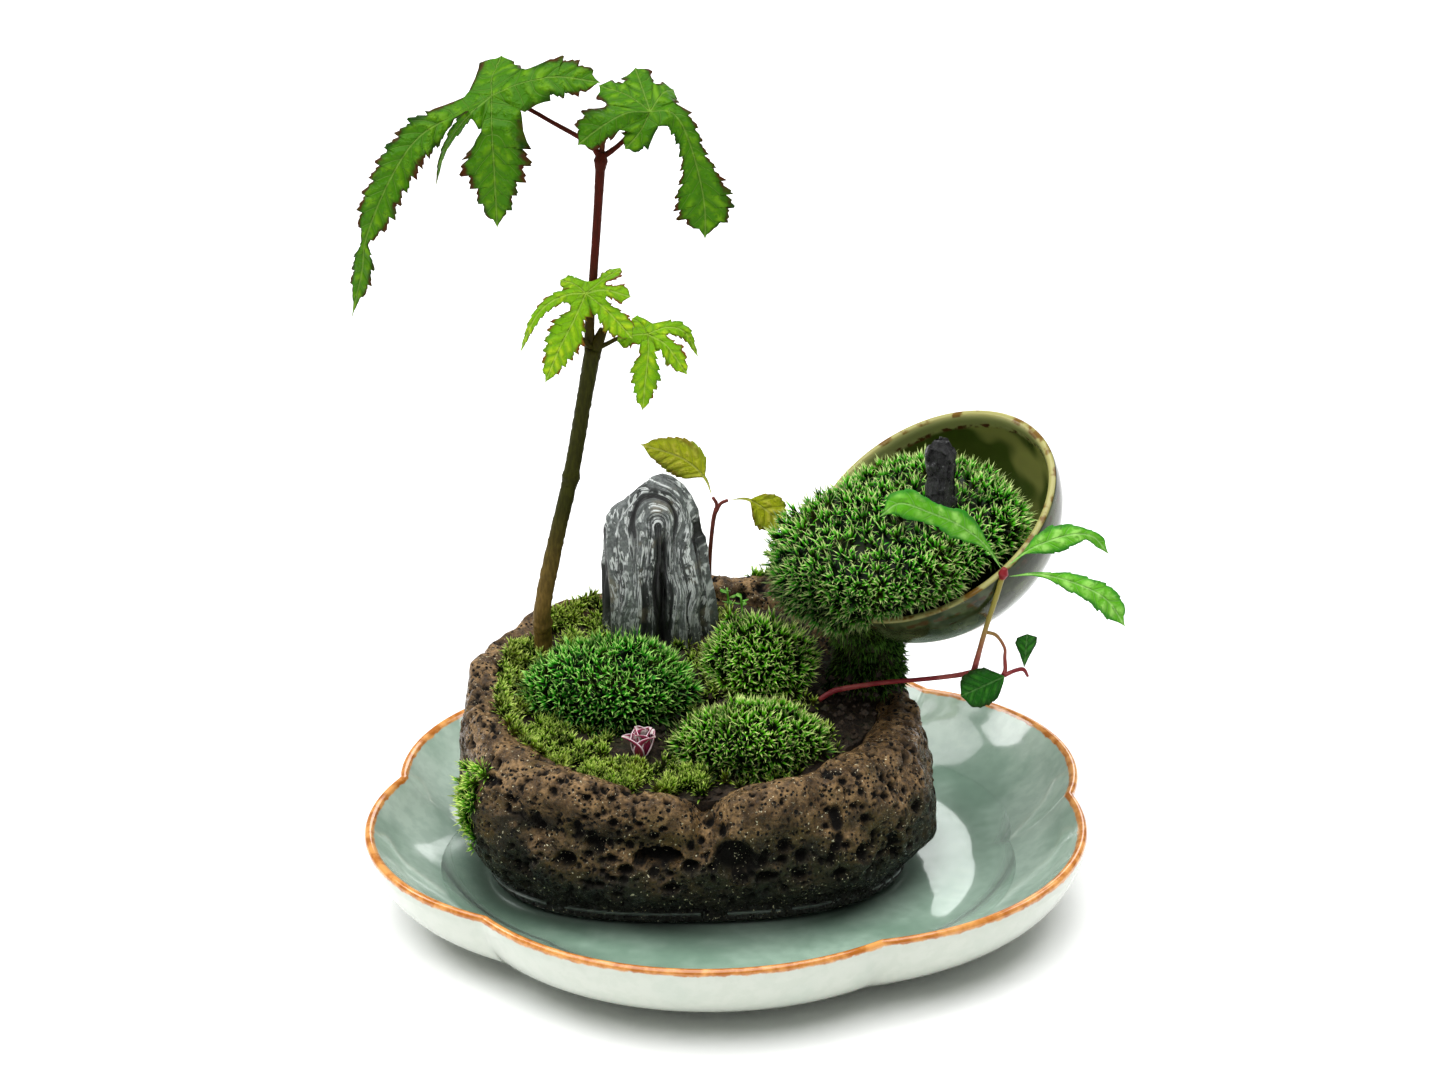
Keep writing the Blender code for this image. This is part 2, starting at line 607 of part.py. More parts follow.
def seedling_stem():
    stem = tube("seedling_stem", ((-5.6, 40.5, 66), (-5.2, 39.4, 77), (-4.8, 38.6, 90),
                                  (-3.6, 37.4, 102), (-2.6, 36.8, 106.8)),
                (0.9, 0.8, 0.7, 0.65, 0.65), steps=9)
    parts = [tube("stalk", ((-2.6, 36.8, 106), (-2.4, 36.8, 108.4), (-3.3, 36.9, 110.2)),
                  (0.65, 0.6, 0.6)),
             tube("stalk", ((-2.6, 36.8, 106), (-1.2, 36.4, 108.6), (0.8, 36.1, 109.7)),
                  (0.65, 0.6, 0.6))]
    return combine(stem, parts, "UNION")


# Leaves

def add_leaf(bm, centre, lobes, webs, stations, closed=False):
    """Add one thin leaf whose lobes share their centre and the notches between them.

    A lobe is (rib points, way the blade faces, half widths along the rib). Lobes run
    anticlockwise as the leaf is seen from its face. Its web says how far along its rib the
    blade joins the next lobe. A closed leaf has a web across its stalk too.
    """
    centre = Vector(centre)
    hub = bm.verts.new(centre)
    shares = [min(LOBE_WEB, web / arc_length([centre, *rib])) for (rib, _, _), web in zip(lobes, webs)]
    ends = [through([centre, *rib], share) - centre for (rib, _, _), share in zip(lobes, shares)]
    notches = [hub] + [bm.verts.new(centre + WEB_DEPTH * (a + b)) for a, b in zip(ends, ends[1:])]
    if closed:
        notches[0] = bm.verts.new(centre + WEB_DEPTH * (ends[-1] + ends[0]))
    notches.append(notches[0])
    ribs = [[through([centre, *rib], i / 12) for i in range(1, 13)] for rib, _, _ in lobes]

    def room(k, way, spot):
        """How far a lobe may reach from its rib before it meets the lobe on that side."""
        if len(lobes) == 1:
            return 1000.0
        beside = (k + way) % len(lobes)
        off = min((spot - other).length for other in ribs[beside])
        return max(LOBE_ROOM * off, off - max(lobes[beside][2]) - LOBE_PARTING)

    for k, (rib, face, widths) in enumerate(lobes):
        path = [centre, *rib]
        start = shares[k] * 1.15
        free = (0.94 - start) * arc_length(path)
        count = max(3, min(stations, round(free / STATION_STEP)))
        step = free / (count - 1)
        middle = [hub]
        edges = {1: [notches[k + 1]], -1: [notches[k]]}
        for i in range(count):
            share = start + (0.94 - start) * i / (count - 1)
            spot = through(path, share)
            ahead = (through(path, share + 0.02) - through(path, share - 0.02)).normalized()
            side = Vector(face).cross(ahead).normalized()
            tooth = 1.0 if i % 2 else LEAF_DENT
            middle.append(bm.verts.new(spot))
            for way in (1, -1):
                reach = between(widths, (share - start) / (1 - start)) * tooth
                reach = min(reach, room(k, way, spot))
                forward = ahead * (min(TOOTH_LEAN * reach, 0.5 * step) if i % 2 else 0.0)
                droop = -LEAF_DROOP * reach * Vector(face).normalized()
                edges[way].append(bm.verts.new(spot + side * reach * way + forward + droop))
        tip = bm.verts.new(through(path, 1.0))
        middle.append(tip)
        for way in (1, -1):
            edge = edges[way] + [tip]
            for i in range(len(middle) - 1):
                corners = [middle[i], middle[i + 1], edge[i + 1], edge[i]]
                if way < 0:
                    corners.reverse()
                for trio in ((corners[0], corners[1], corners[2]),
                             (corners[0], corners[2], corners[3])):
                    if len(set(trio)) == 3:
                        bm.faces.new(trio)


def thicken(name, bm, colour):
    """Give the leaves' sheets their thickness."""
    leaf = finish(name, bm)
    solid = leaf.modifiers.new("blade", "SOLIDIFY")
    solid.thickness = BLADE * MM
    solid.offset = 0.0
    leaf.data.materials.append(principled(name, colour, 0.5))
    return leaf


def leaf(name, colour, centre, lobes, webs=(6.0,), stations=LEAF_STATIONS, closed=False):
    bm = bmesh.new()
    add_leaf(bm, centre, lobes, webs, stations, closed)
    return thicken(name, bm, colour)


def maple_leaves():
    leaf("maple_leaf_left", GREEN_LEAF, (-64.4, 20.6, 241.65), (
        (((-55, 19, 246), (-45, 17, 248), (-33, 15, 246.5)), (0, -0.75, 0.66),
         (6.8, 6.6, 5.8, 4.8, 3.4, 0.8)),
        (((-64.5, 27, 245.5), (-62, 36, 249)), (-0.3, -0.55, 0.8), (6.5, 5.0, 3.0, 1.0)),
        (((-75, 18, 237), (-86, 15, 231), (-94.5, 13, 219), (-101.5, 12, 203), (-103.5, 12.6, 192),
          (-107, 14, 178)), (-0.35, -0.85, 0.4),
         (5.0, 6.4, 6.6, 6.6, 6.4, 6.2, 4.8, 1.2, 3.6, 3.6, 2.0, 0.7)),
        (((-72.5, 12.5, 236.5), (-78, 8, 229), (-80.5, 6.5, 220)), (0.93, -0.3, 0.2),
         (1.6, 2.4, 2.0, 1.2, 0.6)),
        (((-64.4, 13, 234), (-64, 9, 222), (-63.6, 8, 206)), (-0.15, -0.97, 0.25),
         (10.8, 10.4, 9.0, 6.8, 5.2, 3.4, 0.9))), webs=(16.0, 13.0, 15.0, 8.0, 14.0), closed=True)
    leaf("maple_leaf_right", GREEN_LEAF, (-19.2, 22.3, 235.5), (
        (((-13.5, 22, 235.4), (-10, 21, 231.5), (-7.2, 19, 224), (-5, 17, 215), (-4, 16, 207),
          (-4.2, 16, 199)), (0.1, -0.97, 0.2),
         (4.0, 3.8, 3.6, 4.2, 5.6, 7.4, 8.8, 8.2, 5.0, 1.0)),
        (((-15.5, 29, 239), (-12.5, 34, 238.5)), (0.2, -0.6, 0.8), (4.6, 3.8, 2.4, 0.9)),
        (((-21.5, 31, 240), (-23.5, 40, 243.5)), (-0.1, -0.6, 0.8), (5.4, 4.4, 2.8, 0.9)),
        (((-26, 28, 239), (-34, 33, 240.5)), (0.2, -0.6, 0.77), (5.4, 4.4, 2.8, 0.9)),
        (((-26, 16.5, 237), (-33.5, 12.5, 234), (-40, 10, 229.6)), (0.1, -0.85, 0.5),
         (7.0, 6.6, 5.4, 3.6, 0.9)),
        (((-22, 17, 231.4), (-26.5, 13.6, 227)), (0.1, -0.9, 0.3), (4.6, 4.2, 2.8, 0.9))),
         webs=(8.0, 10.0, 14.0, 13.5, 15.0, 8.0), closed=True)
    leaf("maple_leaf_low_left", GREEN_YOUNG, (-39.05, 15.2, 183.3), (
        (((-33.5, 12, 179.5), (-29.3, 9.6, 175.6), (-25.8, 8, 171.6)), (0.2, -0.85, 0.5),
         (4.4, 5.2, 4.6, 3.0, 0.8)),
        (((-33.5, 14, 184.6), (-26, 12, 183)), (0.1, -0.8, 0.6), (4.0, 4.6, 3.8, 2.4, 0.7)),
        (((-34, 17.5, 186.6), (-29, 25, 187.6)), (-0.2, -0.5, 0.85), (1.8, 3.0, 3.0, 2.0, 0.7)),
        (((-42.4, 17.4, 185.4), (-46.6, 21.4, 185.4)), (-0.2, -0.6, 0.78), (2.2, 2.8, 2.2, 0.7)),
        (((-44.5, 13.6, 183.5), (-50.5, 12, 181), (-54.8, 12, 175.5), (-58.5, 13, 166.5)),
         (-0.5, -0.8, 0.3), (2.0, 2.2, 1.8, 1.4, 0.8, 0.5)),
        (((-42.5, 10.5, 177), (-47, 8.2, 169), (-51.4, 8, 158.6)), (-0.15, -0.95, 0.3),
         (5.4, 6.0, 5.6, 4.2, 2.8, 0.8))), webs=(5.9, 5.9, 5.7, 4.5, 5.9, 5.9))
    leaf("maple_leaf_low_right", GREEN_YOUNG, (-21.45, 16.7, 169.9), (
        (((-16, 13.2, 167.4), (-10.2, 12, 158.8)), (0.2, -0.95, 0.3), (3.6, 4.2, 3.4, 2.0, 0.6)),
        (((-16, 17.4, 171.6), (-10.6, 19, 169.4), (-7, 20, 161.5)), (0.1, -0.8, 0.6),
         (2.4, 2.6, 1.8, 0.8, 0.5)),
        (((-23.5, 19.4, 172.4), (-26, 21, 173.2)), (0, -0.6, 0.8), (2.0, 2.4, 1.8, 0.6)),
        (((-25.5, 13.4, 170.8), (-30.4, 12, 169.6)), (0, -0.85, 0.5), (2.6, 3.6, 3.0, 0.8)),
        (((-21.4, 12.2, 165), (-22.4, 10.2, 157.6), (-23.4, 10, 148.6)), (0, -0.97, 0.25),
         (4.2, 4.8, 4.4, 3.4, 2.2, 0.7))), webs=(5.4,) * 5)


def small_leaves():
    leaf("seedling_leaf_left", GREEN_YOUNG, (-3.65, 37, 110.55), (
        (((-6, 40.5, 115.8), (-13, 43, 121.2), (-25, 44.4, 125.2)), (-0.2, -0.9, 0.4),
         (0.5, 4.6, 6.0, 5.8, 4.6, 2.8, 0.6)),))
    leaf("seedling_leaf_right", GREEN_YOUNG, (1.2, 36, 109.9), (
        (((7, 36.4, 109.8), (13, 37, 105.6), (18, 37.4, 99.8)), (0.2, -0.9, 0.4),
         (0.5, 4.0, 5.8, 5.8, 3.8, 0.8)),))
    leaf("sprig_leaf_left", GREEN_YOUNG, (80.3, -9.8, 104.7), (
        (((75.3, -13, 113.6), (67.8, -16, 121), (59, -18, 126), (50.5, -18, 129),
          (44.6, -17, 124.6)), (-0.2, -0.9, 0.4), (0.5, 1.4, 3.4, 4.6, 3.2, 3.4, 4.6, 3.4, 0.8)),))
    leaf("sprig_leaf_right_high", GREEN_YOUNG, (82.0, -8.8, 104.95), (
        (((89.5, -5, 109), (100, -2, 111.6), (107.4, -1, 110.8), (112.4, -1, 105)),
         (-0.2, -0.8, 0.55), (0.5, 3.0, 4.4, 3.6, 1.6, 1.8, 0.7)),))
    leaf("sprig_leaf_right_low", GREEN_YOUNG, (82.6, -9.65, 102.2), (
        (((91.3, -12, 103.6), (102, -15, 101.6), (110.6, -16.6, 97), (116, -17, 88.6)),
         (0.1, -0.8, 0.6), (0.5, 1.2, 3.0, 3.4, 4.2, 3.6, 0.8)),))
    leaf("sprig_leaf_round", GREEN_LEAF, (81.45, -8.5, 69.8), (
        (((76, -11, 68.4), (68.4, -13, 65.8)), (0.1, -0.85, 0.5), (1.6, 5.0, 5.8, 5.4, 3.0)),),
         webs=(1.0,), stations=5)
    leaf("sprig_leaf_small", GREEN_LEAF, (87.4, -6.05, 71.65), (
        (((87.9, -6, 77), (88.3, -6, 82.2)), (0.3, -0.9, 0.2), (0.5, 1.8, 3.4, 3.0)),),
         webs=(1.0,), stations=5)


def sprout():
    """A rosette of curled pink and white leaves beside the front cushion."""
    heart_up = Vector((0, 0, SPROUT_HEART))
    root = Vector((*SPROUT_PLACE, soil_level(*SPROUT_PLACE) + GAP))
    bm = bmesh.new()
    bmesh.ops.create_icosphere(bm, subdivisions=1, radius=SPROUT_HEART)
    bmesh.ops.translate(bm, vec=root + 1.1 * heart_up, verts=bm.verts)
    heart = finish("pink_sprout", bm)
    blades = []
    for i in range(SPROUT_LEAVES):
        angle = 2 * math.pi * i / SPROUT_LEAVES + 0.3
        out = Vector((math.cos(angle), math.sin(angle), 0))
        rise = Vector((0, 0, SPROUT_TALL if i % 2 else SPROUT_LOW))
        base = root + heart_up + out * 0.8
        bm = bmesh.new()
        rib = (base + out * 2.2 + 0.6 * rise, base + out * 4.6 + rise)
        face = -out + Vector((0, 0, 0.8))
        add_leaf(bm, base, ((rib, face, (1.0, 1.9, 1.8, 0.7)),), (1.0,), 3)
        blade = thicken("blade", bm, (0.7, 0.3, 0.4))
        blades.append(apply_modifiers(blade))
    return combine(heart, blades, "UNION")


# Cup and what it holds

def cup_frame():
    """Matrix from the cup's own axes, with its mouth in the XY plane, to the garden's."""
    turn = Vector((0, 0, 1)).rotation_difference(Vector(CUP_AXIS).normalized())
    return Matrix.Translation(CUP_MOUTH) @ turn.to_matrix().to_4x4()


def turned(profile, bottom=None, top=None):
    """Rings of a profile of (radius, height) turned about Z."""
    steps = CUP_STEPS
    rings = [[Vector((radius * math.cos(2 * math.pi * i / steps),
                      radius * math.sin(2 * math.pi * i / steps), height)) for i in range(steps)]
             for radius, height in profile]
    bm = loft(rings, bottom=bottom, top=top)
    bmesh.ops.transform(bm, matrix=cup_frame(), verts=bm.verts)
    return bm


def tea_cup():
    profile = tuple(reversed(CUP_OUTSIDE)) + CUP_INSIDE
    bm = turned(profile, bottom=(0, 0, CUP_OUTSIDE[-1][1]), top=(0, 0, CUP_FLOOR))
    return finish("tea_cup", bm, smooth=True)


def cup_soil_body(grow, lift):
    """The level fill of the cup and the root ball over its lip, grown or lifted for cutting."""
    inside = [(radius + grow, height - grow) for radius, height in reversed(CUP_INSIDE[2:])]
    inside.append((inside[-1][0], CUP_SOIL_HEAP))
    fill = finish("cup_soil", turned(inside, bottom=(0, 0, CUP_FLOOR - grow),
                                     top=(0, 0, CUP_SOIL_HEAP)))
    slope = Vector(CUP_SOIL_UP).normalized()
    turn = Vector((0, 0, 1)).rotation_difference(slope).to_matrix().to_4x4()
    air = bmesh.new()
    bmesh.ops.create_cube(air, size=2 * AIR_SIZE)
    bmesh.ops.transform(air, verts=air.verts,
                        matrix=Matrix.Translation(CUP_SOIL_LEVEL) @ turn
                        @ Matrix.Translation((0, 0, AIR_SIZE + lift)))
    combine(fill, [finish("air", air)], "DIFFERENCE", "MANIFOLD")
    radii = tuple(radius + lift for radius in ROOT_RADII)
    path = [Vector(point) for point in ROOT_PATH]
    path[-1] += (path[-1] - path[-2]).normalized() * lift
    roots = tube("roots", path, radii, steps=9, sides=2)
    return fill, roots


def cup_soil(cup, rock, ground):
    """Soil and roots that fill the cup, run over its low lip and stand on the rock's back rim."""
    fill, roots = cup_soil_body(-2 * GAP, 0.0)
    for tool in (swollen(cup, GAP), swollen(rock, GAP), swollen(ground, GAP)):
        combine(roots, [tool], "DIFFERENCE", "MANIFOLD")
    return combine(fill, [roots], "UNION", "MANIFOLD")


def cup_moss(cup, stone):
    """The big cushion that swells out of the tipped cup and over its low lip."""
    rng = random.Random(SEED + 5)
    up = Vector(CUP_SOIL_UP).normalized()
    across = Vector((CUP_AXIS[1], -CUP_AXIS[0], 0)).normalized()
    along = across.cross(up).normalized()
    frame = Matrix((along, across, up)).transposed().to_4x4()
    frame.translation = CUP_MOSS_MIDDLE
    bm = even_sphere(CUP_MOSS_POINTS)
    for vert in bm.verts:
        swell = 1 + 0.07 * noise.noise(vert.co * 1.8)
        power = sum(abs(vert.co[k]) ** CUP_MOSS_SQUARENESS for k in range(3))
        swell *= power ** (-1 / CUP_MOSS_SQUARENESS)
        dent = smooth_step(0.80, 0.96, vert.co.normalized().dot(Vector(CUP_MOSS_DENT_WAY)))
        swell *= 1 - CUP_MOSS_DENT * dent
        vert.co = Vector([vert.co[k] * CUP_MOSS_HALF[k] for k in range(3)]) * swell
    bmesh.ops.transform(bm, matrix=frame, verts=bm.verts)
    raise_tufts(bm, list(bm.faces), MOSS_TIP, rng)
    moss = finish("moss_cushion_cup", bm)
    for tool in (swollen(cup, GAP), swollen(stone, GAP), *cup_soil_body(CUP_MOSS_WALL, GAP)):
        combine(moss, [tool], "DIFFERENCE", "MANIFOLD")
    return moss


def keep_largest(obj):
    """Drop the loose scraps that a cut leaves beside a piece."""
    bm = bmesh.new()
    bm.from_mesh(obj.data)
    left = set(bm.verts)
    groups = []
    while left:
        stack = [left.pop()]
        group = set(stack)
        while stack:
            for edge in stack.pop().link_edges:
                for vert in edge.verts:
                    if vert in left:
                        left.discard(vert)
                        group.add(vert)
                        stack.append(vert)
        groups.append(group)
    groups.sort(key=len)
    for group in groups[:-1]:
        bmesh.ops.delete(bm, geom=list(group), context="VERTS")
    bm.to_mesh(obj.data)
    bm.free()
    return obj


def paint(obj, colour, roughness, alpha=1.0):
    obj.data.materials.clear()
    obj.data.materials.append(principled(obj.name, colour, roughness, alpha=alpha))


def main():
    clear_scene()
    dish = plate()
    pool = water()
    rock, bubbles = lava_rock()
    ground = soil()
    cup = tea_cup()
    filling = cup_soil(cup, rock, ground)
    keep_largest(filling)
    combine(rock, bubbles, "DIFFERENCE", "MANIFOLD")
    pebble = dark_stone()
    mound = cup_moss(cup, pebble)
    keep_largest(mound)
    moss_on_soil()
    stone = ridged_stone()
    trunk = maple_stem()
    runner = sprig_stem()
    seedling = seedling_stem()
    for planted in (stone, trunk, runner, seedling):
        combine(ground, [swollen(planted, GAP)], "DIFFERENCE", "MANIFOLD")
    maple_leaves()
    small_leaves()
    rosette = sprout()
    paint(dish, (0.42, 0.56, 0.50), 0.2)
    paint(pool, (0.55, 0.70, 0.66), 0.05, alpha=0.35)
    paint(rock, (0.09, 0.05, 0.03), 0.85)
    paint(ground, (0.035, 0.02, 0.012), 0.95)
    paint(cup, (0.25, 0.29, 0.14), 0.2)
    paint(filling, (0.03, 0.02, 0.012), 0.95)
    paint(pebble, (0.02, 0.02, 0.025), 0.8)
    paint(mound, GREEN_MOSS, 0.9)
    paint(stone, (0.20, 0.22, 0.23), 0.8)
    paint(trunk, (0.07, 0.07, 0.03), 0.7)
    paint(runner, (0.30, 0.05, 0.05), 0.5)
    paint(seedling, (0.20, 0.10, 0.05), 0.6)
    paint(rosette, (0.65, 0.30, 0.38), 0.6)
    stand = bpy.data.objects.new("garden", None)
    bpy.context.scene.collection.objects.link(stand)
    stand.location = (CENTRE_SHIFT[0] * MM, CENTRE_SHIFT[1] * MM, 0)
    for obj in bpy.data.objects:
        if obj.type == "MESH":
            obj.parent = stand


main()
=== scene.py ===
"""Moss bowl garden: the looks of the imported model.

Each CAD node is replaced by a finer piece built from the same named sizes, in millimetres about the
plate's middle. place() moves a piece into the frame, in metres.
"""

import math
import random

import bmesh
import bpy
import numpy as np
from mathutils import Matrix, Vector, kdtree, noise
from mathutils.bvhtree import BVHTree


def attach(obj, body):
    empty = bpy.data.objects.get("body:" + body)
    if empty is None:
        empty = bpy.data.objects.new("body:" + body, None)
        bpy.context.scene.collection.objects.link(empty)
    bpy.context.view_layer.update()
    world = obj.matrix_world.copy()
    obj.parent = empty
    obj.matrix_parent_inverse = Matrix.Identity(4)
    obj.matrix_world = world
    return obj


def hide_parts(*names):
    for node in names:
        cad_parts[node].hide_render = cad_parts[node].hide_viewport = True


MM = 0.001
SHIFT = (-3.7, 0.0, 0.0)        # plate middle to the middle of the whole outline
SEED = 11
UP = Vector((0.0, 0.0, 1.0))

# Camera, fitted to the photograph
CAMERA_PLACE = (-0.4, -1205.3, 597.5)
CAMERA_DOWN = 22.0
CAMERA_ROLL = -1.1
CAMERA_LENS = 110.3
CAMERA_SENSOR = 36.0
CAMERA_REACH = 20.0

# Plate
PLATE_RADIUS = 110.5
PLATE_NOTCHES = (0.8, 52.0, 109.0, 167.4, 226.1, 294.3)
PLATE_LOBE_DEPTH = 0.34
PLATE_FLOOR = 8.0
FOOT_OUTER = 74.0
FOOT_INNER = 67.0
FOOT_RECESS = 3.2
WATER_LEVEL = 11.5
SHORE = 88.0

# Lava rock
ROCK_CENTRE = (-10.0, 3.0)
ROCK_HALF_WIDTH = 72.0
ROCK_HALF_DEPTH = 55.0
ROCK_SQUARENESS = 2.5
ROCK_FOOT_SHARE = 0.875
ROCK_SKIRT_TOP = 13.0
ROCK_BED = 22.0
ROCK_BED_SHARE = 0.66
ROCK_CREST_SHARE = 0.835
ROCK_LIP_SHARE = 0.77
BROAD_RIM_AT = 335.0            # degrees round the rock, at its right shoulder
BROAD_RIM_SPREAD = 34.0
CREST_RISE = 0.9                # the crest and three levels of the hollow's wall, from the rim
LIP_DROP = 1.6
WALL_DROP = 9.0
WALL_FOOT_DROP = 20.0
LUMP_SIZE = 26.0
LUMP_DEPTH = 3.2
ROCK_RIM = ((0, 51), (28, 55), (48, 67), (66, 77), (90, 79), (130, 74), (160, 67), (185, 62),
            (225, 55), (255, 49), (275, 47), (300, 52), (330, 53))
BULGE = (ROCK_FOOT_SHARE, 0.955, 0.995, 1.0, 1.0, 0.985, 0.955, 0.905)
# Large bubbles of the rock: degrees round it, share of its height, radius, flatness
ROCK_HOLES = ((281, 0.56, 6.4, 1.0), (277, 0.66, 3.6, 0.8), (258, 0.56, 7.5, 2.8), (249, 0.45, 2.6, 1.5),
              (240, 0.62, 3.2, 1.6), (268, 0.50, 3.2, 1.2), (296, 0.59, 2.3, 1.0), (300, 0.33, 2.4, 1.4),
              (316, 0.43, 3.2, 1.0), (309, 0.52, 2.0, 1.0), (326, 0.40, 2.6, 0.8), (310, 0.30, 2.4, 1.2),
              (290, 0.36, 3.0, 1.5), (262, 0.30, 2.8, 1.6), (233, 0.45, 3.4, 1.2), (222, 0.30, 2.6, 1.0),
              (335, 0.60, 2.2, 1.0), (318, 0.68, 1.8, 1.0))
ROCK_PORES = 5200
# Moss on the rock: degrees round it, share of its height, spread in both and number of shoots
ROCK_TUFTS = ((201.0, 0.52, 5.0, 0.22, 46), (206.0, 0.74, 3.0, 0.10, 12), (64.0, 1.0, 7.0, 0.05, 34))
SOIL_FRONT_LEVEL = 58.0
SOIL_SLOPE = 0.32
SOIL_HALF_WIDTH = 54
SOIL_HALF_DEPTH = 42
SOIL_CRUMBS = 1500

# Tea cup
CUP_MOUTH = (61.0, 28.0, 107.3)
CUP_AXIS = (-0.44, -0.35, 0.83)
CUP_SOIL_UP = (-0.15, -0.10, 0.98)
CUP_SOIL_LEVEL = (36.0, 9.0, 88.0)
CUP_OUTSIDE = ((19.5, -28.0), (28.0, -24.5), (35.0, -18.0), (39.0, -11.0), (40.8, -5.0), (41.2, -1.0))
CUP_INSIDE = ((38.5, -1.5), (38.1, -5.0), (36.4, -10.5), (32.6, -16.5), (26.0, -22.0), (17.0, -25.4))
CUP_BASE = -29.2
CUP_FLOOR = -26.2
CUP_MOSS_MIDDLE = (51.5, 17.0, 102.2)
CUP_MOSS_HALF = (39.0, 32.5, 17.2)
CUP_MOSS_SQUARENESS = 2.6
CUP_MOSS_DENT = 0.21
CUP_MOSS_DENT_WAY = (-0.37, -0.69, -0.62)
CUP_MOSS_SHOOTS = 900
CUP_MOSS_NEAR = 2.2             # a shoot stands no farther than this from the CAD cushion's skin
CUP_MOSS_CLEAR = 1.2            # nor nearer than this to the cup
CUP_MOSS_SINK = 2.6
CUP_MOSS_DEPTH = 4.0            # of its body, painted in near-black shade, below the skin
CUP_MOSS_GAP = 5.8              # where the body lies deeper than this, it moves to the skin
ROOT_PATH = ((40.5, 23, 50), (41.5, 22, 61), (42.5, 18, 72), (38.5, 11.5, 81), (34, 7, 90))
ROOT_RADII = (12, 9.5, 8.0, 8.0, 7.0)
ROOTLETS = 34

# Stones and plants
RIDGE_PLACE = (-21.3, 33.0)
RIDGE_ARCH = (-20.2, 105.5)     # middle of the arches of its flutes: across and up
RIDGE_TOP = 120.0
# The grey stone's outline: share of its height, shift to the right and half width
RIDGE_LEVELS = ((0.0, 0.0, 16.0), (0.2, 0.2, 16.2), (0.4, 0.2, 15.8), (0.57, 0.0, 15.2),
                (0.7, -0.8, 14.2), (0.8, -0.2, 12.0), (0.87, 1.5, 9.0), (0.93, 2.4, 6.2),
                (0.98, 2.8, 3.0), (1.0, 2.8, 0.3))
SPROUT_PLACE = (-26.0, -20.0)
BARE_PLACE = (-27.0, -20.0)     # bare soil round the sprout
BARE_RADIUS = 9.5
GOLDEN_TURN = 2.39996           # radians from one leaf of a shoot to the next
ROOT_SHOOTS = 620
RIM_SHOOTS = 1500
GROUND_SHOOTS = 900
MOSS_SPLAY = (0.16, 1.45)       # lean of a shoot's highest and lowest leaves, in radians
MOSS_TIP = 3.4                  # how far a cushion's leaves stand out of its body
WEB_DEPTH = 0.58                # of the notch between two lobes, from the leaf's centre
LEAF_ROW = 0.42                 # distance from one row of a leaf's points to the next
LEAF_THICKNESS = 0.28
SPROUT_THICKNESS = 0.3

# Light: a window's place, target, size and power, in metres and watts
WINDOWS = {"window_right": ((0.75, 0.45, 0.85), (0.02, 0, 0.03), (0.5, 0.35), 2.5),
           "window_left": ((-0.85, 0.35, 0.75), (-0.02, 0, 0.03), (0.4, 0.3), 2.5),
           "window_back": ((0.26, 1.15, 0.56), (0.06, 0, 0.01), (0.46, 0.34), 1.5)}
SKY_POWER = 4.4
SKY_SPREAD = 75.0
SKY_TURN = (4.0, -8.0, 0.0)
WORLD_POWER = 0.16
FLOOR_HALF = 6


# Small tools

def smooth_step(low, high, value):
    share = np.clip((value - low) / (high - low), 0.0, 1.0)
    return share * share * (3.0 - 2.0 * share)


def unit(vectors):
    return vectors / np.maximum(np.linalg.norm(vectors, axis=-1, keepdims=True), 1e-9)


def through(points, share):
    """Point of a smooth curve through the given points, at a share of its length."""
    points = [Vector(point) for point in points]
    lengths = [0.0]
    for a, b in zip(points, points[1:]):
        lengths.append(lengths[-1] + (b - a).length)
    spot = min(max(share, 0.0), 1.0) * lengths[-1]
    i = 0
    while i < len(points) - 2 and lengths[i + 1] < spot:
        i += 1
    t = (spot - lengths[i]) / (lengths[i + 1] - lengths[i])
    a = points[i]
    b = points[i + 1]
    before = points[i - 1] if i else a * 2 - b
    after = points[i + 2] if i + 2 < len(points) else b * 2 - a
    return 0.5 * (2 * a + (b - before) * t + (2 * before - 5 * a + 4 * b - after) * t * t
                  + (3 * a - before - 3 * b + after) * t ** 3)


def arc_length(points):
    spots = [through(points, i / 24) for i in range(25)]
    return sum((b - a).length for a, b in zip(spots, spots[1:]))


def between(values, share):
    return float(np.interp(min(max(share, 0.0), 1.0) * (len(values) - 1), range(len(values)), values))


def curve_points(points, count):
    """Evenly spaced points of a smooth curve through (radius, height) pairs."""
    flat = [(a, b, 0.0) for a, b in points]
    return [tuple(through(flat, i / (count - 1)))[:2] for i in range(count)]


def grid_faces(rows, columns, wrap=True, first=0):
    row = np.arange(rows - 1)[:, None]
    column = np.arange(columns if wrap else columns - 1)[None, :]
    a = row * columns + column
    b = row * columns + (column + 1) % columns
    return (np.stack([a, b, b + columns, a + columns], -1).reshape(-1, 4) + first).tolist()


def fan(ring_start, count, middle, flip=False):
    faces = [[ring_start + i, ring_start + (i + 1) % count, middle] for i in range(count)]
    return [face[::-1] for face in faces] if flip else faces


def closed_faces(rows, steps, top_first=False):
    """Faces of stacked rings, closed on the two points after them: the bottom's and the top's."""
    end = rows * steps
    low = fan(0, steps, end + top_first, flip=True)
    high = fan(end - steps, steps, end + 1 - top_first)
    return grid_faces(rows, steps) + (high + low if top_first else low + high)


def outward(angle, up=0.0):
    return Vector((math.cos(angle), math.sin(angle), up))


def turns(steps):
    """Angles of a ring's points."""
    return [2 * math.pi * i / steps for i in range(steps)]


def ball_rings(highs, steps):
    """Points of a unit ball's rings at the given angles above its equator."""
    return [(math.cos(around) * math.cos(high), math.sin(around) * math.cos(high), math.sin(high))
            for high in highs for around in turns(steps)]


def add_part(verts, faces, more, sides):
    """Add one part's points and faces to the lists of a piece."""
    faces += [[len(verts) + k for k in side] for side in sides]
    verts += [tuple(point) for point in more]


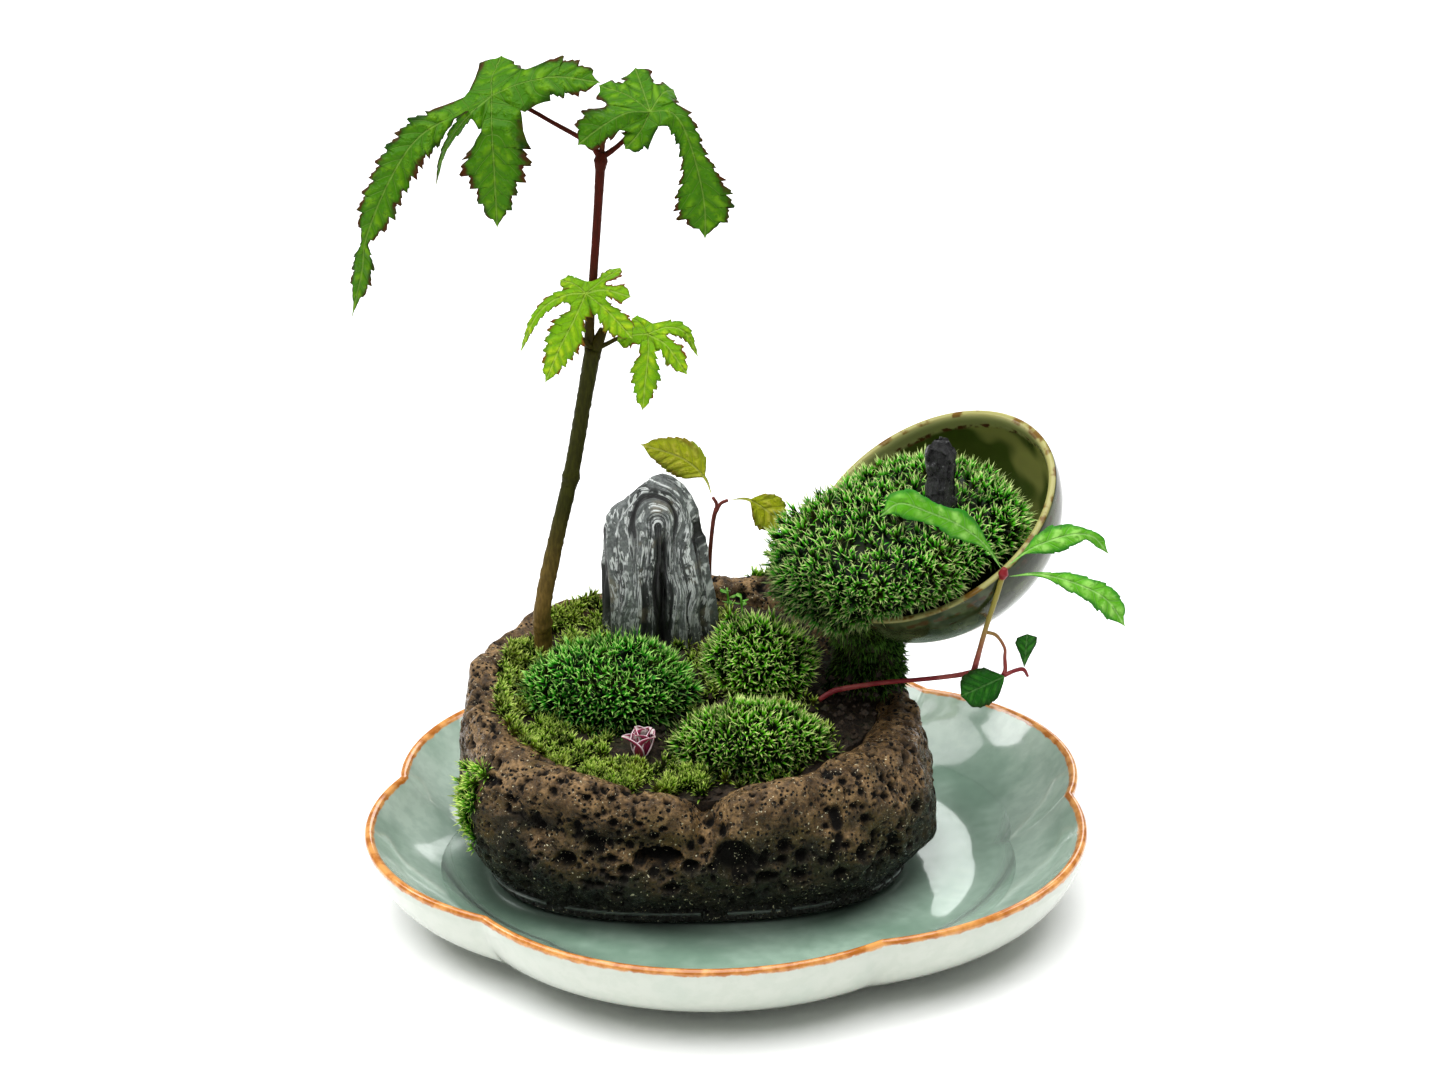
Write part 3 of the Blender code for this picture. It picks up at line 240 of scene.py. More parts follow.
def joined(parts):
    verts = []
    faces = []
    for more, sides in parts:
        add_part(verts, faces, more, sides)
    return verts, faces


def framed(spot):
    """A place in millimetres about the plate's middle, as a place in the frame, in metres."""
    return (Vector(spot) + Vector(SHIFT)) * MM


def stand(name, data):
    obj = bpy.data.objects.new(name, data)
    bpy.context.scene.collection.objects.link(obj)
    return obj


def thicken(obj, thickness):
    """Give a sheet a thickness in millimetres, half on each side."""
    solid = obj.modifiers.new("blade", "SOLIDIFY")
    solid.thickness = thickness * MM
    solid.offset = 0.0


def place(name, verts, faces, material, nodes, slot, smooth=True, **layers):
    """Make a piece of points in millimetres, with its named values per point, and frame it."""
    mesh = bpy.data.meshes.new(name)
    points = (np.asarray(verts, float).reshape(-1, 3) + SHIFT) * MM
    mesh.from_pydata(points.tolist(), [], faces)
    for key, values in layers.items():
        values = np.asarray(values, np.float32)
        kind = "FLOAT" if values.ndim == 1 else "FLOAT_VECTOR"
        layer = mesh.attributes.new(key, kind, "POINT")
        layer.data.foreach_set("value" if values.ndim == 1 else "vector", values.ravel())
    mesh.polygons.foreach_set("use_smooth", [smooth] * len(mesh.polygons))
    mesh.materials.append(material)
    obj = stand(name, mesh)
    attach(obj, "root")
    if nodes:
        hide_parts(*nodes)
    return obj


def normals_of(verts, faces):
    """Point normals of a mesh given as arrays."""
    verts = np.asarray(verts, float)
    total = np.zeros_like(verts)
    for size in (3, 4):
        some = np.array([face for face in faces if len(face) == size])
        if not len(some):
            continue
        last = some[:, 3] if size == 4 else some[:, 2]
        first = np.cross(verts[some[:, 1]] - verts[some[:, 0]], verts[last] - verts[some[:, 0]])
        for k in range(size):
            np.add.at(total, some[:, k], first)
    return unit(total)


def rough(points, size, seed, octaves=3):
    """Soft noise from -1 to 1 at points in millimetres."""
    shift = Vector((seed, 1.7 * seed, -seed))
    return np.array([noise.fractal(Vector(point) / size + shift, 0.9, 2.1, octaves)
                     for point in points])


# Materials

class Paint:
    """A material whose shader nodes are wired by short calls."""

    def __init__(self, name, roughness, **values):
        self.material = bpy.data.materials.new(name)
        self.material.use_nodes = True
        self.tree = self.material.node_tree
        self.shader = self.tree.nodes["Principled BSDF"]
        self.shader.inputs["Roughness"].default_value = roughness
        for key, value in values.items():
            self.shader.inputs[key.replace("_", " ")].default_value = value
        self.where = self.tree.nodes.new("ShaderNodeNewGeometry").outputs["Position"]

    def node(self, kind, *inputs, output=0, **settings):
        made = self.tree.nodes.new("ShaderNode" + kind)
        for key, value in settings.items():
            setattr(made, key, value)
        for socket, value in inputs:
            self.feed(made.inputs[socket], value)
        return made.outputs[output]

    def feed(self, socket, value):
        if isinstance(value, bpy.types.NodeSocket):
            self.tree.links.new(value, socket)
        elif hasattr(value, "__len__") and len(value) == 3 and socket.type == "RGBA":
            socket.default_value = (*value, 1.0)
        else:
            socket.default_value = value

    def layer(self, name, vector=False):
        return self.node("Attribute", output=1 if vector else 2, attribute_name=name)

    def parts(self, vector):
        split = self.tree.nodes.new("ShaderNodeSeparateXYZ")
        self.feed(split.inputs[0], vector)
        return split.outputs

    def height(self):
        """Height of the surface in millimetres."""
        return self.times(self.parts(self.where)[2], 1 / MM)

    def math(self, operation, a, b=0.0, clamp=False):
        return self.node("Math", (0, a), (1, b), operation=operation, use_clamp=clamp)

    def times(self, a, b):
        return self.math("MULTIPLY", a, b)

    def most(self, a, b, clamp=False):
        return self.math("MAXIMUM", a, b, clamp)

    def away(self, value, middle):
        """How far a value lies from a middle."""
        return self.math("ABSOLUTE", self.math("SUBTRACT", value, middle))

    def noise(self, size, detail=4.0, vector=None, distortion=0.0, roughness=0.55):
        """Noise from 0 to 1 whose lumps are about size millimetres across."""
        return self.node("TexNoise", ("Vector", vector or self.where), ("Scale", 1 / (size * MM)),
                         ("Detail", detail), ("Roughness", roughness), ("Distortion", distortion))

    def cells(self, size):
        return self.node("TexVoronoi", ("Vector", self.where), ("Scale", 1 / (size * MM)))

    def ramp(self, value, low, high, to_low=0.0, to_high=1.0):
        return self.node("MapRange", ("Value", value), ("From Min", low), ("From Max", high),
                         ("To Min", to_low), ("To Max", to_high), interpolation_type="SMOOTHSTEP")

    def blots(self, size, detail, low, high, to_low=0.0, to_high=1.0):
        """Patches with soft edges, where noise goes from low to high."""
        return self.ramp(self.noise(size, detail), low, high, to_low, to_high)

    def ragged(self, value, size, detail, depth):
        """A value that noise moves up and down over a depth."""
        wave = self.math("SUBTRACT", self.noise(size, detail), 0.5)
        return self.math("ADD", value, self.times(wave, depth))

    def mix(self, share, a, b):
        made = self.tree.nodes.new("ShaderNodeMix")
        made.data_type = "RGBA"
        self.feed(made.inputs[0], share)
        self.feed(made.inputs[6], a)
        self.feed(made.inputs[7], b)
        return made.outputs[2]

    def colour(self, value):
        self.feed(self.shader.inputs["Base Color"], value)

    def roughness(self, value):
        self.feed(self.shader.inputs["Roughness"], value)

    def bump(self, height, depth, before=None):
        """Bump whose height from 0 to 1 stands for depth millimetres."""
        inputs = [("Height", height), ("Distance", depth * MM), ("Strength", 1.0)]
        if before:
            inputs.append(("Normal", before))
        made = self.node("Bump", *inputs)
        self.feed(self.shader.inputs["Normal"], made)
        return made

    def translucent(self, colour, share):
        """Let part of the light through, as a leaf does."""
        back = self.node("BsdfTranslucent", ("Color", colour))
        mixed = self.node("MixShader", (0, share), (1, self.shader.outputs[0]), (2, back))
        output = self.tree.nodes["Material Output"]
        self.tree.links.new(mixed, output.inputs["Surface"])


def plate_paint():
    """Celadon, pale outside, with a fine orange-brown line round the rim."""
    p = Paint("celadon_glaze", 0.12, Coat_Weight=0.4, Coat_Roughness=0.04, IOR=1.5)
    inside = p.layer("inside")
    rim = p.layer("rim")
    cloud = p.noise(26, 3)
    fine = p.noise(4, 5)
    pool = p.mix(p.ramp(cloud, 0.35, 0.65), (0.20, 0.30, 0.23), (0.33, 0.44, 0.36))
    wall = p.mix(p.ramp(cloud, 0.35, 0.65), (0.30, 0.42, 0.33), (0.48, 0.60, 0.50))
    pool = p.mix(p.layer("deep"), wall, pool)
    pool = p.mix(p.ramp(fine, 0.38, 0.62, 0.0, 0.16), pool, (0.12, 0.19, 0.15))
    # painted shade: the pool goes dark near the rock's foot, where the rock shades it
    pool = p.mix(p.times(p.layer("silt"), 0.86), pool, (0.034, 0.052, 0.038))
    skin = p.mix(p.ramp(fine, 0.4, 0.6, 0.0, 0.3), (0.58, 0.62, 0.54), (0.48, 0.54, 0.45))
    skin = p.mix(p.ramp(cloud, 0.5, 0.7, 0.0, 0.3), skin, (0.46, 0.54, 0.46))
    colour = p.mix(inside, skin, pool)
    edge = p.ragged(rim, 3, 3, 0.5)
    brown = p.mix(p.blots(5, 4, 0.35, 0.65), (0.42, 0.13, 0.014), (0.72, 0.33, 0.09))
    p.colour(p.mix(p.ramp(edge, 0.45, 0.65), colour, brown))
    p.bump(p.noise(14, 2), 0.14, p.bump(p.noise(1.2, 2), 0.008))
    return p.material


def water_paint():
    """Clear water: its upper face mirrors what it doesn't let through."""
    p = Paint("water", 0.32, Metallic=1.0)
    p.colour((0.95, 0.98, 0.97))
    p.bump(p.noise(24, 2), 0.04)
    clear = p.node("BsdfTransparent", ("Color", (0.985, 0.997, 0.99)))
    front = p.math("SUBTRACT", 1.0, p.tree.nodes["Geometry"].outputs["Backfacing"])
    share = p.times(p.node("Fresnel", ("IOR", 1.16)), front)
    mixed = p.node("MixShader", (0, share), (1, clear), (2, p.shader.outputs[0]))
    p.tree.links.new(mixed, p.tree.nodes["Material Output"].inputs["Surface"])
    return p.material


def rock_paint():
    """Wet lava: brown, redder and brighter on the lip and on faces turned up, partly painted light; painted
    shade takes it near black at the foot and in the bubbles; with painted glints.
    """
    p = Paint("lava_rock", 0.4, Specular_IOR_Level=0.28)
    height = p.layer("height")
    lit = p.layer("lit")
    grain = p.noise(1.3, 6, roughness=0.7)
    brown = p.mix(p.blots(12, 5, 0.36, 0.62), (0.014, 0.009, 0.002), (0.105, 0.066, 0.016))
    rust = p.mix(p.blots(5, 5, 0.36, 0.64), (0.080, 0.043, 0.015), (0.33, 0.20, 0.085))
    # painted light: faces turned up and the band below the rim take the brighter, redder colour
    colour = p.mix(p.times(lit, p.blots(14, 3, 0.20, 0.46)), brown, rust)
    colour = p.mix(p.ramp(grain, 0.34, 0.62, 0.72, 0.0), colour, (0.008, 0.006, 0.003))
    moist = p.times(p.blots(8, 4, 0.46, 0.58), p.ramp(height, 0.85, 0.25))
    colour = p.mix(p.times(moist, 0.75), colour, (0.032, 0.034, 0.008))
    # painted shade: darker towards the foot, near black at it
    colour = p.mix(p.ramp(height, 0.74, 0.08, 0.0, 0.96), colour, (0.004, 0.004, 0.002))
    small = p.ramp(p.cells(1.5), 0.34, 0.24)
    large = p.ramp(p.cells(3.4), 0.26, 0.19)
    few = p.blots(7, 3, 0.46, 0.56)
    holes = p.most(p.times(small, p.blots(5, 3, 0.44, 0.54)),
                   p.times(large, few))
    # painted shade: near black in the bubbles and pores
    dark = p.most(p.layer("pit"), holes, clamp=True)
    colour = p.mix(dark, colour, (0.003, 0.002, 0.001))
    glint = p.times(p.blots(0.8, 2, 0.67, 0.71), p.blots(6, 3, 0.42, 0.54))
    p.colour(p.mix(glint, colour, (0.80, 0.74, 0.50)))
    p.roughness(p.most(dark, p.blots(1.6, 4, 0.40, 0.62, 0.12, 0.8)))
    p.bump(p.math("SUBTRACT", 1.0, holes), 0.8, p.bump(grain, 0.7))
    return p.material


def soil_paint(name):
    p = Paint(name, 0.9)
    crumbs = p.noise(1.4, 6, roughness=0.75)
    colour = p.mix(p.ramp(crumbs, 0.3, 0.7), (0.004, 0.003, 0.002), (0.058, 0.034, 0.016))
    colour = p.mix(p.blots(9, 4, 0.5, 0.7, 0.0, 0.5), colour, (0.035, 0.045, 0.012))
    p.colour(colour)
    p.bump(crumbs, 1.2)
    return p.material


def moss_paint(name, deep, body, tip, yellow=0.16, shade=None):
    """Moss leaves: near black at their base, which is painted shade; pale at their tips, partly their own
    colour and partly painted highlight; each shoot a little different.

    Between the two heights of shade, in millimetres, they darken downwards.
    """
    p = Paint(name, 0.42, Specular_IOR_Level=0.14)
    along = p.layer("tip")
    tone = p.layer("tone")
    patches = p.noise(11, 3)
    # painted shade: the base of each leaf is near black; the pale tips are partly the moss's own colour and
    # partly painted highlight
    leaf = p.mix(p.ramp(along, 0.34, 0.60), deep, body)
    leaf = p.mix(p.ramp(along, 0.58, 0.78), leaf, tip)
    old = p.mix(0.6, leaf, (0.34, 0.30, 0.02))
    leaf = p.mix(p.times(p.ramp(patches, 0.45, 0.65), yellow), leaf, old)
    leaf = p.mix(p.ramp(tone, 0.0, 0.42, 0.85, 0.0), leaf, p.mix(0.85, leaf, deep))
    if shade:
        leaf = p.mix(p.ramp(p.height(), *shade, 0.0, 0.72), leaf, deep)
    p.colour(leaf)
    p.translucent(leaf, 0.3)
    return p.material


def stone_paint():
    """Dark fluted stone with white lines that follow its flutes."""
    p = Paint("grey_stone", 0.42, Specular_IOR_Level=0.5)
    flow = p.node("VectorMath", (0, p.layer("flow", vector=True)), ("Scale", MM), operation="SCALE")
    height = p.layer("height")
    streak = p.noise(1.25, 4, vector=flow, roughness=0.62)
    wide = p.noise(3.4, 4, vector=flow, distortion=0.25, roughness=0.62)
    line = p.away(streak, 0.5)
    band = p.away(wide, 0.5)
    broken = p.blots(2.6, 4, 0.42, 0.52)
    white = p.times(p.ramp(line, 0.042, 0.012), broken)
    veins = p.times(p.ramp(band, 0.020, 0.004), p.blots(5, 4, 0.40, 0.55))
    white = p.most(white, p.times(veins, 0.8))
    grey = p.mix(p.ramp(wide, 0.36, 0.62), (0.020, 0.024, 0.024), (0.20, 0.225, 0.215))
    grey = p.mix(p.blots(1.1, 5, 0.35, 0.68, 0.55, 0.0), grey, (0.008, 0.008, 0.008))
    grey = p.mix(p.blots(9, 3, 0.58, 0.7, 0.0, 0.5), grey, (0.23, 0.20, 0.13))
    colour = p.mix(p.ramp(height, 0.35, 0.0, 0.0, 0.7), grey, (0.012, 0.014, 0.014))
    speck = p.times(p.ramp(p.cells(1.5), 0.16, 0.10), p.blots(8, 2, 0.5, 0.6))
    white = p.most(p.times(white, p.ramp(height, -0.1, 0.7, 0.25, 1.0)),
                   p.times(speck, 0.6))
    # painted shade: deep in the flutes the white lines fade and the stone goes near black
    white = p.times(white, p.math("SUBTRACT", 1.0, p.layer("deep")))
    colour = p.mix(white, colour, (0.74, 0.78, 0.76))
    p.colour(p.mix(p.layer("deep"), colour, (0.006, 0.006, 0.006)))
    p.bump(streak, 0.6, p.bump(wide, 0.8, p.bump(p.noise(0.8, 4), 0.2)))
    return p.material


def dark_stone_paint():
    p = Paint("dark_stone", 0.3, Specular_IOR_Level=0.35)
    grain = p.noise(1.6, 6, roughness=0.7)
    colour = p.mix(p.ramp(grain, 0.42, 0.66), (0.004, 0.004, 0.004), (0.030, 0.031, 0.032))
    fleck = p.times(p.blots(1.1, 3, 0.62, 0.70), p.blots(6, 2, 0.5, 0.6))
    p.colour(p.mix(fleck, colour, (0.30, 0.31, 0.30)))
    p.bump(grain, 0.9)
    return p.material


def cup_paint():
    """Dark olive glaze, paler in waves, with a brown-flecked pale band at the lip."""
    p = Paint("cup_glaze", 0.10, Specular_IOR_Level=0.35, IOR=1.4)
    inside = p.layer("inside")
    depth = p.layer("depth")
    level = p.ragged(depth, 10, 3, 3.2)
    fleck = p.blots(3.0, 4, 0.46, 0.60)
    olive = p.mix(p.blots(15, 1, 0.42, 0.56), (0.050, 0.075, 0.010), (0.26, 0.27, 0.07))
    olive = p.mix(p.ramp(level, 9.0, 24.0, 0.0, 0.75), olive, (0.020, 0.036, 0.006))
    band = p.mix(p.ramp(level, 3.6, 5.2), (0.33, 0.34, 0.13), olive)
    line = p.ramp(p.away(level, 4.2), 1.1, 0.4)
    inner = p.mix(p.times(line, fleck), band, (0.075, 0.022, 0.006))
    cool = p.mix(p.blots(16, 3, 0.4, 0.6), (0.070, 0.090, 0.065), (0.22, 0.26, 0.22))
    shade = p.mix(p.blots(9, 2, 0.4, 0.6), (0.018, 0.026, 0.008), (0.055, 0.070, 0.028))
    outer = p.mix(p.ramp(level, 13.0, 18.0), shade, cool)
    line = p.ramp(p.away(level, 3.4), 1.2, 0.4)
    outer = p.mix(p.times(line, fleck), outer, (0.050, 0.030, 0.01))
    colour = p.mix(inside, outer, inner)
    lip = p.mix(p.blots(6, 3, 0.40, 0.52), (0.16, 0.085, 0.015), (0.36, 0.34, 0.12))
    p.colour(p.mix(p.ramp(depth, 0.9, 0.3), colour, lip))
    p.bump(p.noise(10, 2), 0.2)
    return p.material


def leaf_paint(name, body, light, edge, rust, rust_share, vein, spacing):
    """Leaf with a pale midrib, fine slanting veins, blisters, dark edges and rusty margins.

    The layer "leaf" holds the way along the lobe, the way across it, which is 1 at the margin,
    and the distance from the midrib. Distances are in millimetres.
    """
    p = Paint(name, 0.36, Specular_IOR_Level=0.10)
    along, across, off = p.parts(p.layer("leaf", vector=True))
    side = p.math("ABSOLUTE", across)
    rib = p.ramp(off, 0.42, 0.10)
    slant = p.math("SUBTRACT", along, p.times(off, 0.9))
    phase = p.math("FRACT", p.math("DIVIDE", slant, spacing))
    near = p.away(phase, 0.5)
    side_vein = p.times(p.ramp(near, 0.055, 0.01), p.ramp(side, 0.95, 0.5, 0.0, 0.6))
    veins = p.most(rib, side_vein, clamp=True)
    blister = p.times(p.ramp(near, 0.0, 0.42), p.blots(3.2, 3, 0.35, 0.6))
    # the blisters between the veins take the lighter colour, partly the leaf's own mottling and partly
    # painted highlight
    colour = p.mix(p.times(blister, p.blots(9, 3, 0.36, 0.58)), body, light)
    ragged = p.ragged(side, 4, 4, 0.8)
    colour = p.mix(p.ramp(ragged, 0.50, 1.0, 0.0, 0.92), colour, edge)
    rim = p.times(p.ramp(ragged, 0.70, 0.98), p.blots(12, 2, 0.40, 0.54))
    colour = p.mix(p.times(rim, rust_share), colour, rust)
    p.colour(p.mix(p.times(veins, 0.4), colour, vein))
    p.roughness(p.blots(6, 3, 0.3, 0.7, 0.32, 0.5))
    p.bump(p.math("SUBTRACT", 1.0, veins), 0.3, p.bump(blister, 0.5))
    p.translucent(colour, 0.25)
    return p.material


def bark_paint(name, foot, middle, top, low, high):
    """Stem whose colour changes with its height in millimetres."""
    p = Paint(name, 0.5, Specular_IOR_Level=0.04)
    height = p.height()
    colour = p.mix(p.ramp(height, *low), foot, middle)
    colour = p.mix(p.ramp(height, *high), colour, top)
    upright = p.node("Mapping", ("Vector", p.where), ("Scale", (1.0, 1.0, 0.25)))
    streak = p.noise(0.9, 4, vector=upright)
    p.colour(p.mix(p.ramp(streak, 0.35, 0.7, 0.45, 0.0), colour, (0.010, 0.008, 0.004)))
    p.bump(streak, 0.25)
    return p.material


def runner_paint():
    """Red runner whose side shoot turns green, up to its red node."""
    p = Paint("red_stem", 0.35, Specular_IOR_Level=0.25)
    height = p.height()
    colour = p.mix(p.blots(9, 3, 0.4, 0.65), (0.19, 0.012, 0.018), (0.30, 0.06, 0.05))
    colour = p.mix(p.ramp(height, 71.5, 92.0), colour, (0.26, 0.22, 0.035))
    p.colour(p.mix(p.ramp(height, 100.6, 101.6), colour, (0.22, 0.015, 0.02)))
    p.bump(p.noise(0.8, 3), 0.1)
    return p.material


def sprout_paint():
    """Curled leaves: pale along the middle, crimson beside it, with a thin white margin."""
    p = Paint("variegated_leaf", 0.4)
    side = p.layer("side")
    edge = p.ragged(side, 2, 3, 0.5)
    pale = p.mix(p.blots(3, 3, 0.4, 0.6), (0.36, 0.32, 0.28), (0.76, 0.66, 0.66))
    leaf = p.mix(p.ramp(edge, 0.24, 0.42), pale, (0.24, 0.010, 0.055))
    p.colour(p.mix(p.ramp(side, 0.84, 0.94), leaf, (0.82, 0.66, 0.70)))
    p.bump(p.noise(1.0, 3), 0.1)
    return p.material


# Plate and water

def petal_places(steps):
    """Angles of a ring's points and the petals' radius there, as shares of the full radius."""
    petals = len(PLATE_NOTCHES)
    place = petals * np.arange(steps) / steps
    angle = np.interp(place, np.arange(petals + 1), (*PLATE_NOTCHES, PLATE_NOTCHES[0] + 360))
    t = (place % 1.0 - 0.5) * 2 * math.pi / petals
    c = PLATE_LOBE_DEPTH
    return np.radians(angle), c * np.cos(t) + np.sqrt((1 - c) ** 2 - (c * np.sin(t)) ** 2)


def plate_rings(profile, steps):
    """Rings of (radius, height) pairs, round in the middle of the plate and lobed at its rim."""
    angle, share = petal_places(steps)
    radius = np.array(profile)[:, :1]
    height = np.array(profile)[:, 1:]
    reach = radius * (1 + smooth_step(50.0, PLATE_RADIUS, radius) * (share - 1))
    flat = np.zeros(steps)
    return np.stack([reach * np.cos(angle), reach * np.sin(angle), height + flat], -1)


def make_plate():
    steps = 360
    foot = [(FOOT_INNER - 2.0, FOOT_RECESS), (FOOT_INNER - 0.5, 0.6), (FOOT_INNER + 0.3, 0.0),
            (FOOT_OUTER - 0.4, 0.0), (FOOT_OUTER, 0.15)]
    outer = curve_points(((FOOT_OUTER, 0.2), (79.0, 2.4), (92.0, 5.2), (101.5, 9.8), (107.6, 16.5),
                          (110.6, 24.0), (110.6, 26.0)), 26)
    lip = curve_points(((110.6, 26.1), (110.1, 26.8), (109.2, 27.1), (108.2, 26.7)), 8)
    inner = curve_points(((108.1, 26.6), (106.4, 24.8), (99.4, 18.0), (88.5, 11.6),
                          (76.0, PLATE_FLOOR), (66.0, PLATE_FLOOR)), 34)
    floor = [(50.0, PLATE_FLOOR), (25.0, PLATE_FLOOR)]
    profile = foot + outer + lip + inner + floor
    rings = plate_rings(profile, steps)
    rows = len(profile)
    verts = np.concatenate([rings.reshape(-1, 3), [(0, 0, FOOT_RECESS), (0, 0, PLATE_FLOOR)]])
    turn = len(foot) + len(outer)
    row = np.arange(rows)
    inside = np.clip((row - turn) / len(lip), 0, 1)
    near = np.array([math.dist(point, (109.4, 27.1)) for point in profile])
    deep = smooth_step(108.0, 86.0, np.array(profile)[:, 0]) * (row > turn)
    layers = [np.append(np.repeat(values, steps), end) for values, end in
              ((inside, (0, 1)), (np.clip(1.35 - near / 2.6, 0, 1), (0, 0)), (deep, (0, 1)))]
    # painted shade: how near each point lies to the rock's foot, for darkening the pool there
    off = verts[:, :2] - ROCK_CENTRE
    foot_ring = np.array([rock_outline(a, ROCK_FOOT_SHARE) for a in np.arctan2(off[:, 1], off[:, 0])])
    silt = smooth_step(15.0, 1.0, np.linalg.norm(off, axis=1)
                       - np.linalg.norm(foot_ring - ROCK_CENTRE, axis=1)) * (verts[:, 2] > FOOT_RECESS + 1)
    place("plate_glazed", verts, closed_faces(rows, steps), plate_paint(), ("plate",), "celadon_glaze",
          inside=layers[0], rim=layers[1], deep=layers[2], silt=silt)


def make_water():
    """Still water whose surface climbs a little where it meets the rock."""
    steps = 300
    angle = petal_places(steps)[0]
    shore = plate_rings([(SHORE, WATER_LEVEL)], steps)[0]
    rock = np.array([(*rock_outline(a, ROCK_FOOT_SHARE), WATER_LEVEL) for a in angle])
    rows = []
    for share in (0.0, 0.006, 0.014, 0.025, 0.04, 0.07, 0.12, 0.2, 0.35, 0.5, 0.7, 0.85, 0.95, 1.0):
        ring = rock + (shore - rock) * share
        off = np.linalg.norm(ring - rock, axis=1)
        ring[:, 2] = WATER_LEVEL + 1.0 * np.exp(-off / 0.8)
        rows.append(ring)
    rows.append(plate_rings([(76.0, PLATE_FLOOR + 0.3)], steps)[0])
    rows.append(np.array([(*rock_outline(a, ROCK_FOOT_SHARE), PLATE_FLOOR + 0.3) for a in angle]))
    verts = np.concatenate(rows)
    faces = grid_faces(len(rows), steps)
    last = (len(rows) - 1) * steps
    faces += [[last + i, last + (i + 1) % steps, (i + 1) % steps, i] for i in range(steps)]
    place("water_surface", verts, faces, water_paint(), ("water",), "water")


# Rock and soil

def rock_outline(angle, share, clear=0.0):
    c = abs(math.cos(angle)) / ROCK_HALF_WIDTH
    s = abs(math.sin(angle)) / ROCK_HALF_DEPTH
    radius = (c ** ROCK_SQUARENESS + s ** ROCK_SQUARENESS) ** (-1 / ROCK_SQUARENESS)
    reach = radius * share + clear
    return ROCK_CENTRE[0] + reach * math.cos(angle), ROCK_CENTRE[1] + reach * math.sin(angle)


def lip_share(angle):
    """Share of the rock's reach where its hollow starts, smaller where the rim is broad."""
    off = abs((math.degrees(angle) - BROAD_RIM_AT + 180) % 360 - 180)
    return ROCK_LIP_SHARE - 0.06 * (1 - float(smooth_step(0.35 * BROAD_RIM_SPREAD, BROAD_RIM_SPREAD, off)))


def rim_height(angle):
    degrees = math.degrees(angle) % 360
    spots = list(ROCK_RIM) + [(360, ROCK_RIM[0][1])]
    for (a, low), (b, high) in zip(spots, spots[1:]):
        if a <= degrees <= b:
            return low + (high - low) * float(smooth_step(a, b, degrees))
    return ROCK_RIM[0][1]


def lumps(point):
    """How far the rock's large lumps stand out or back at a point."""
    spot = Vector(point) / LUMP_SIZE
    small = noise.noise(spot * 2.7 + Vector((7, 3, 1)))
    return LUMP_DEPTH * noise.noise(spot) + 0.4 * LUMP_DEPTH * small


def rock_point(angle, share_up):
    """Point of the rock's outer face, from its foot (0) to its rim (1)."""
    low = ROCK_SKIRT_TOP
    height = low + (rim_height(angle) - low) * share_up
    bulge = between(BULGE, share_up)
    x, y = rock_outline(angle, bulge)
    push = lumps((x, y, height)) * float(smooth_step(0.0, 0.25, share_up))
    x, y = rock_outline(angle, bulge, push)
    return Vector((x, y, height + 0.5 * push * share_up))


def soil_level(y):
    """Height of the rock's soil, which rises to the back."""
    return SOIL_FRONT_LEVEL + SOIL_SLOPE * y


def rock_grid(steps, rows):
    """The rock's skin from its foot, up its face and over the rim down to the bed."""
    profile = []
    for angle in turns(steps):
        rim = rim_height(angle)
        lip = lip_share(angle)
        x, y = rock_outline(angle, ROCK_CREST_SHARE - 0.4 * (ROCK_LIP_SHARE - lip))
        crest = rim + CREST_RISE + 0.4 * lumps((x, y, 90.0))
        keys = [Vector((*rock_outline(angle, ROCK_FOOT_SHARE - 0.04), PLATE_FLOOR + 0.4)),
                Vector((*rock_outline(angle, ROCK_FOOT_SHARE), PLATE_FLOOR + 1.9))]
        keys += [rock_point(angle, k / 8) for k in range(9)]
        wall = 0.27 * ROCK_BED_SHARE + 0.73 * lip
        wall_foot = 0.73 * ROCK_BED_SHARE + 0.27 * lip
        keys += [Vector((x, y, crest)), Vector((*rock_outline(angle, lip), rim - LIP_DROP)),
                 Vector((*rock_outline(angle, wall), rim - WALL_DROP)),
                 Vector((*rock_outline(angle, wall_foot), rim - WALL_FOOT_DROP))]
        profile.append([through(keys, k / (rows - 1)) for k in range(rows)])
    return np.array(profile, float).transpose(1, 0, 2)


def rock_wear(angle, height, rim):
    """Outward and upward wear at a height of the rock: a ledge, its recess and a notch.

    The ledge runs from 226 to 268 degrees, the notch lies at 273 and a shoulder at 287.
    """
    up = (height - ROCK_SKIRT_TOP) / (rim - ROCK_SKIRT_TOP)
    degrees = np.degrees(angle) % 360
    shelf = smooth_step(212, 226, degrees) * smooth_step(277, 268, degrees)
    out = shelf * (1.5 * np.exp(-((up - 0.90) / 0.10) ** 2) - 2.6 * np.exp(-((up - 0.64) / 0.11) ** 2))
    notch = np.exp(-((degrees - 273) / 5.0) ** 2) * smooth_step(0.40, 0.95, up)
    shoulder = np.exp(-((degrees - 287) / 9.0) ** 2) * smooth_step(0.5, 0.9, up)
    return out - 3.8 * notch + 1.2 * shoulder, 1.3 * shoulder - 6.4 * notch


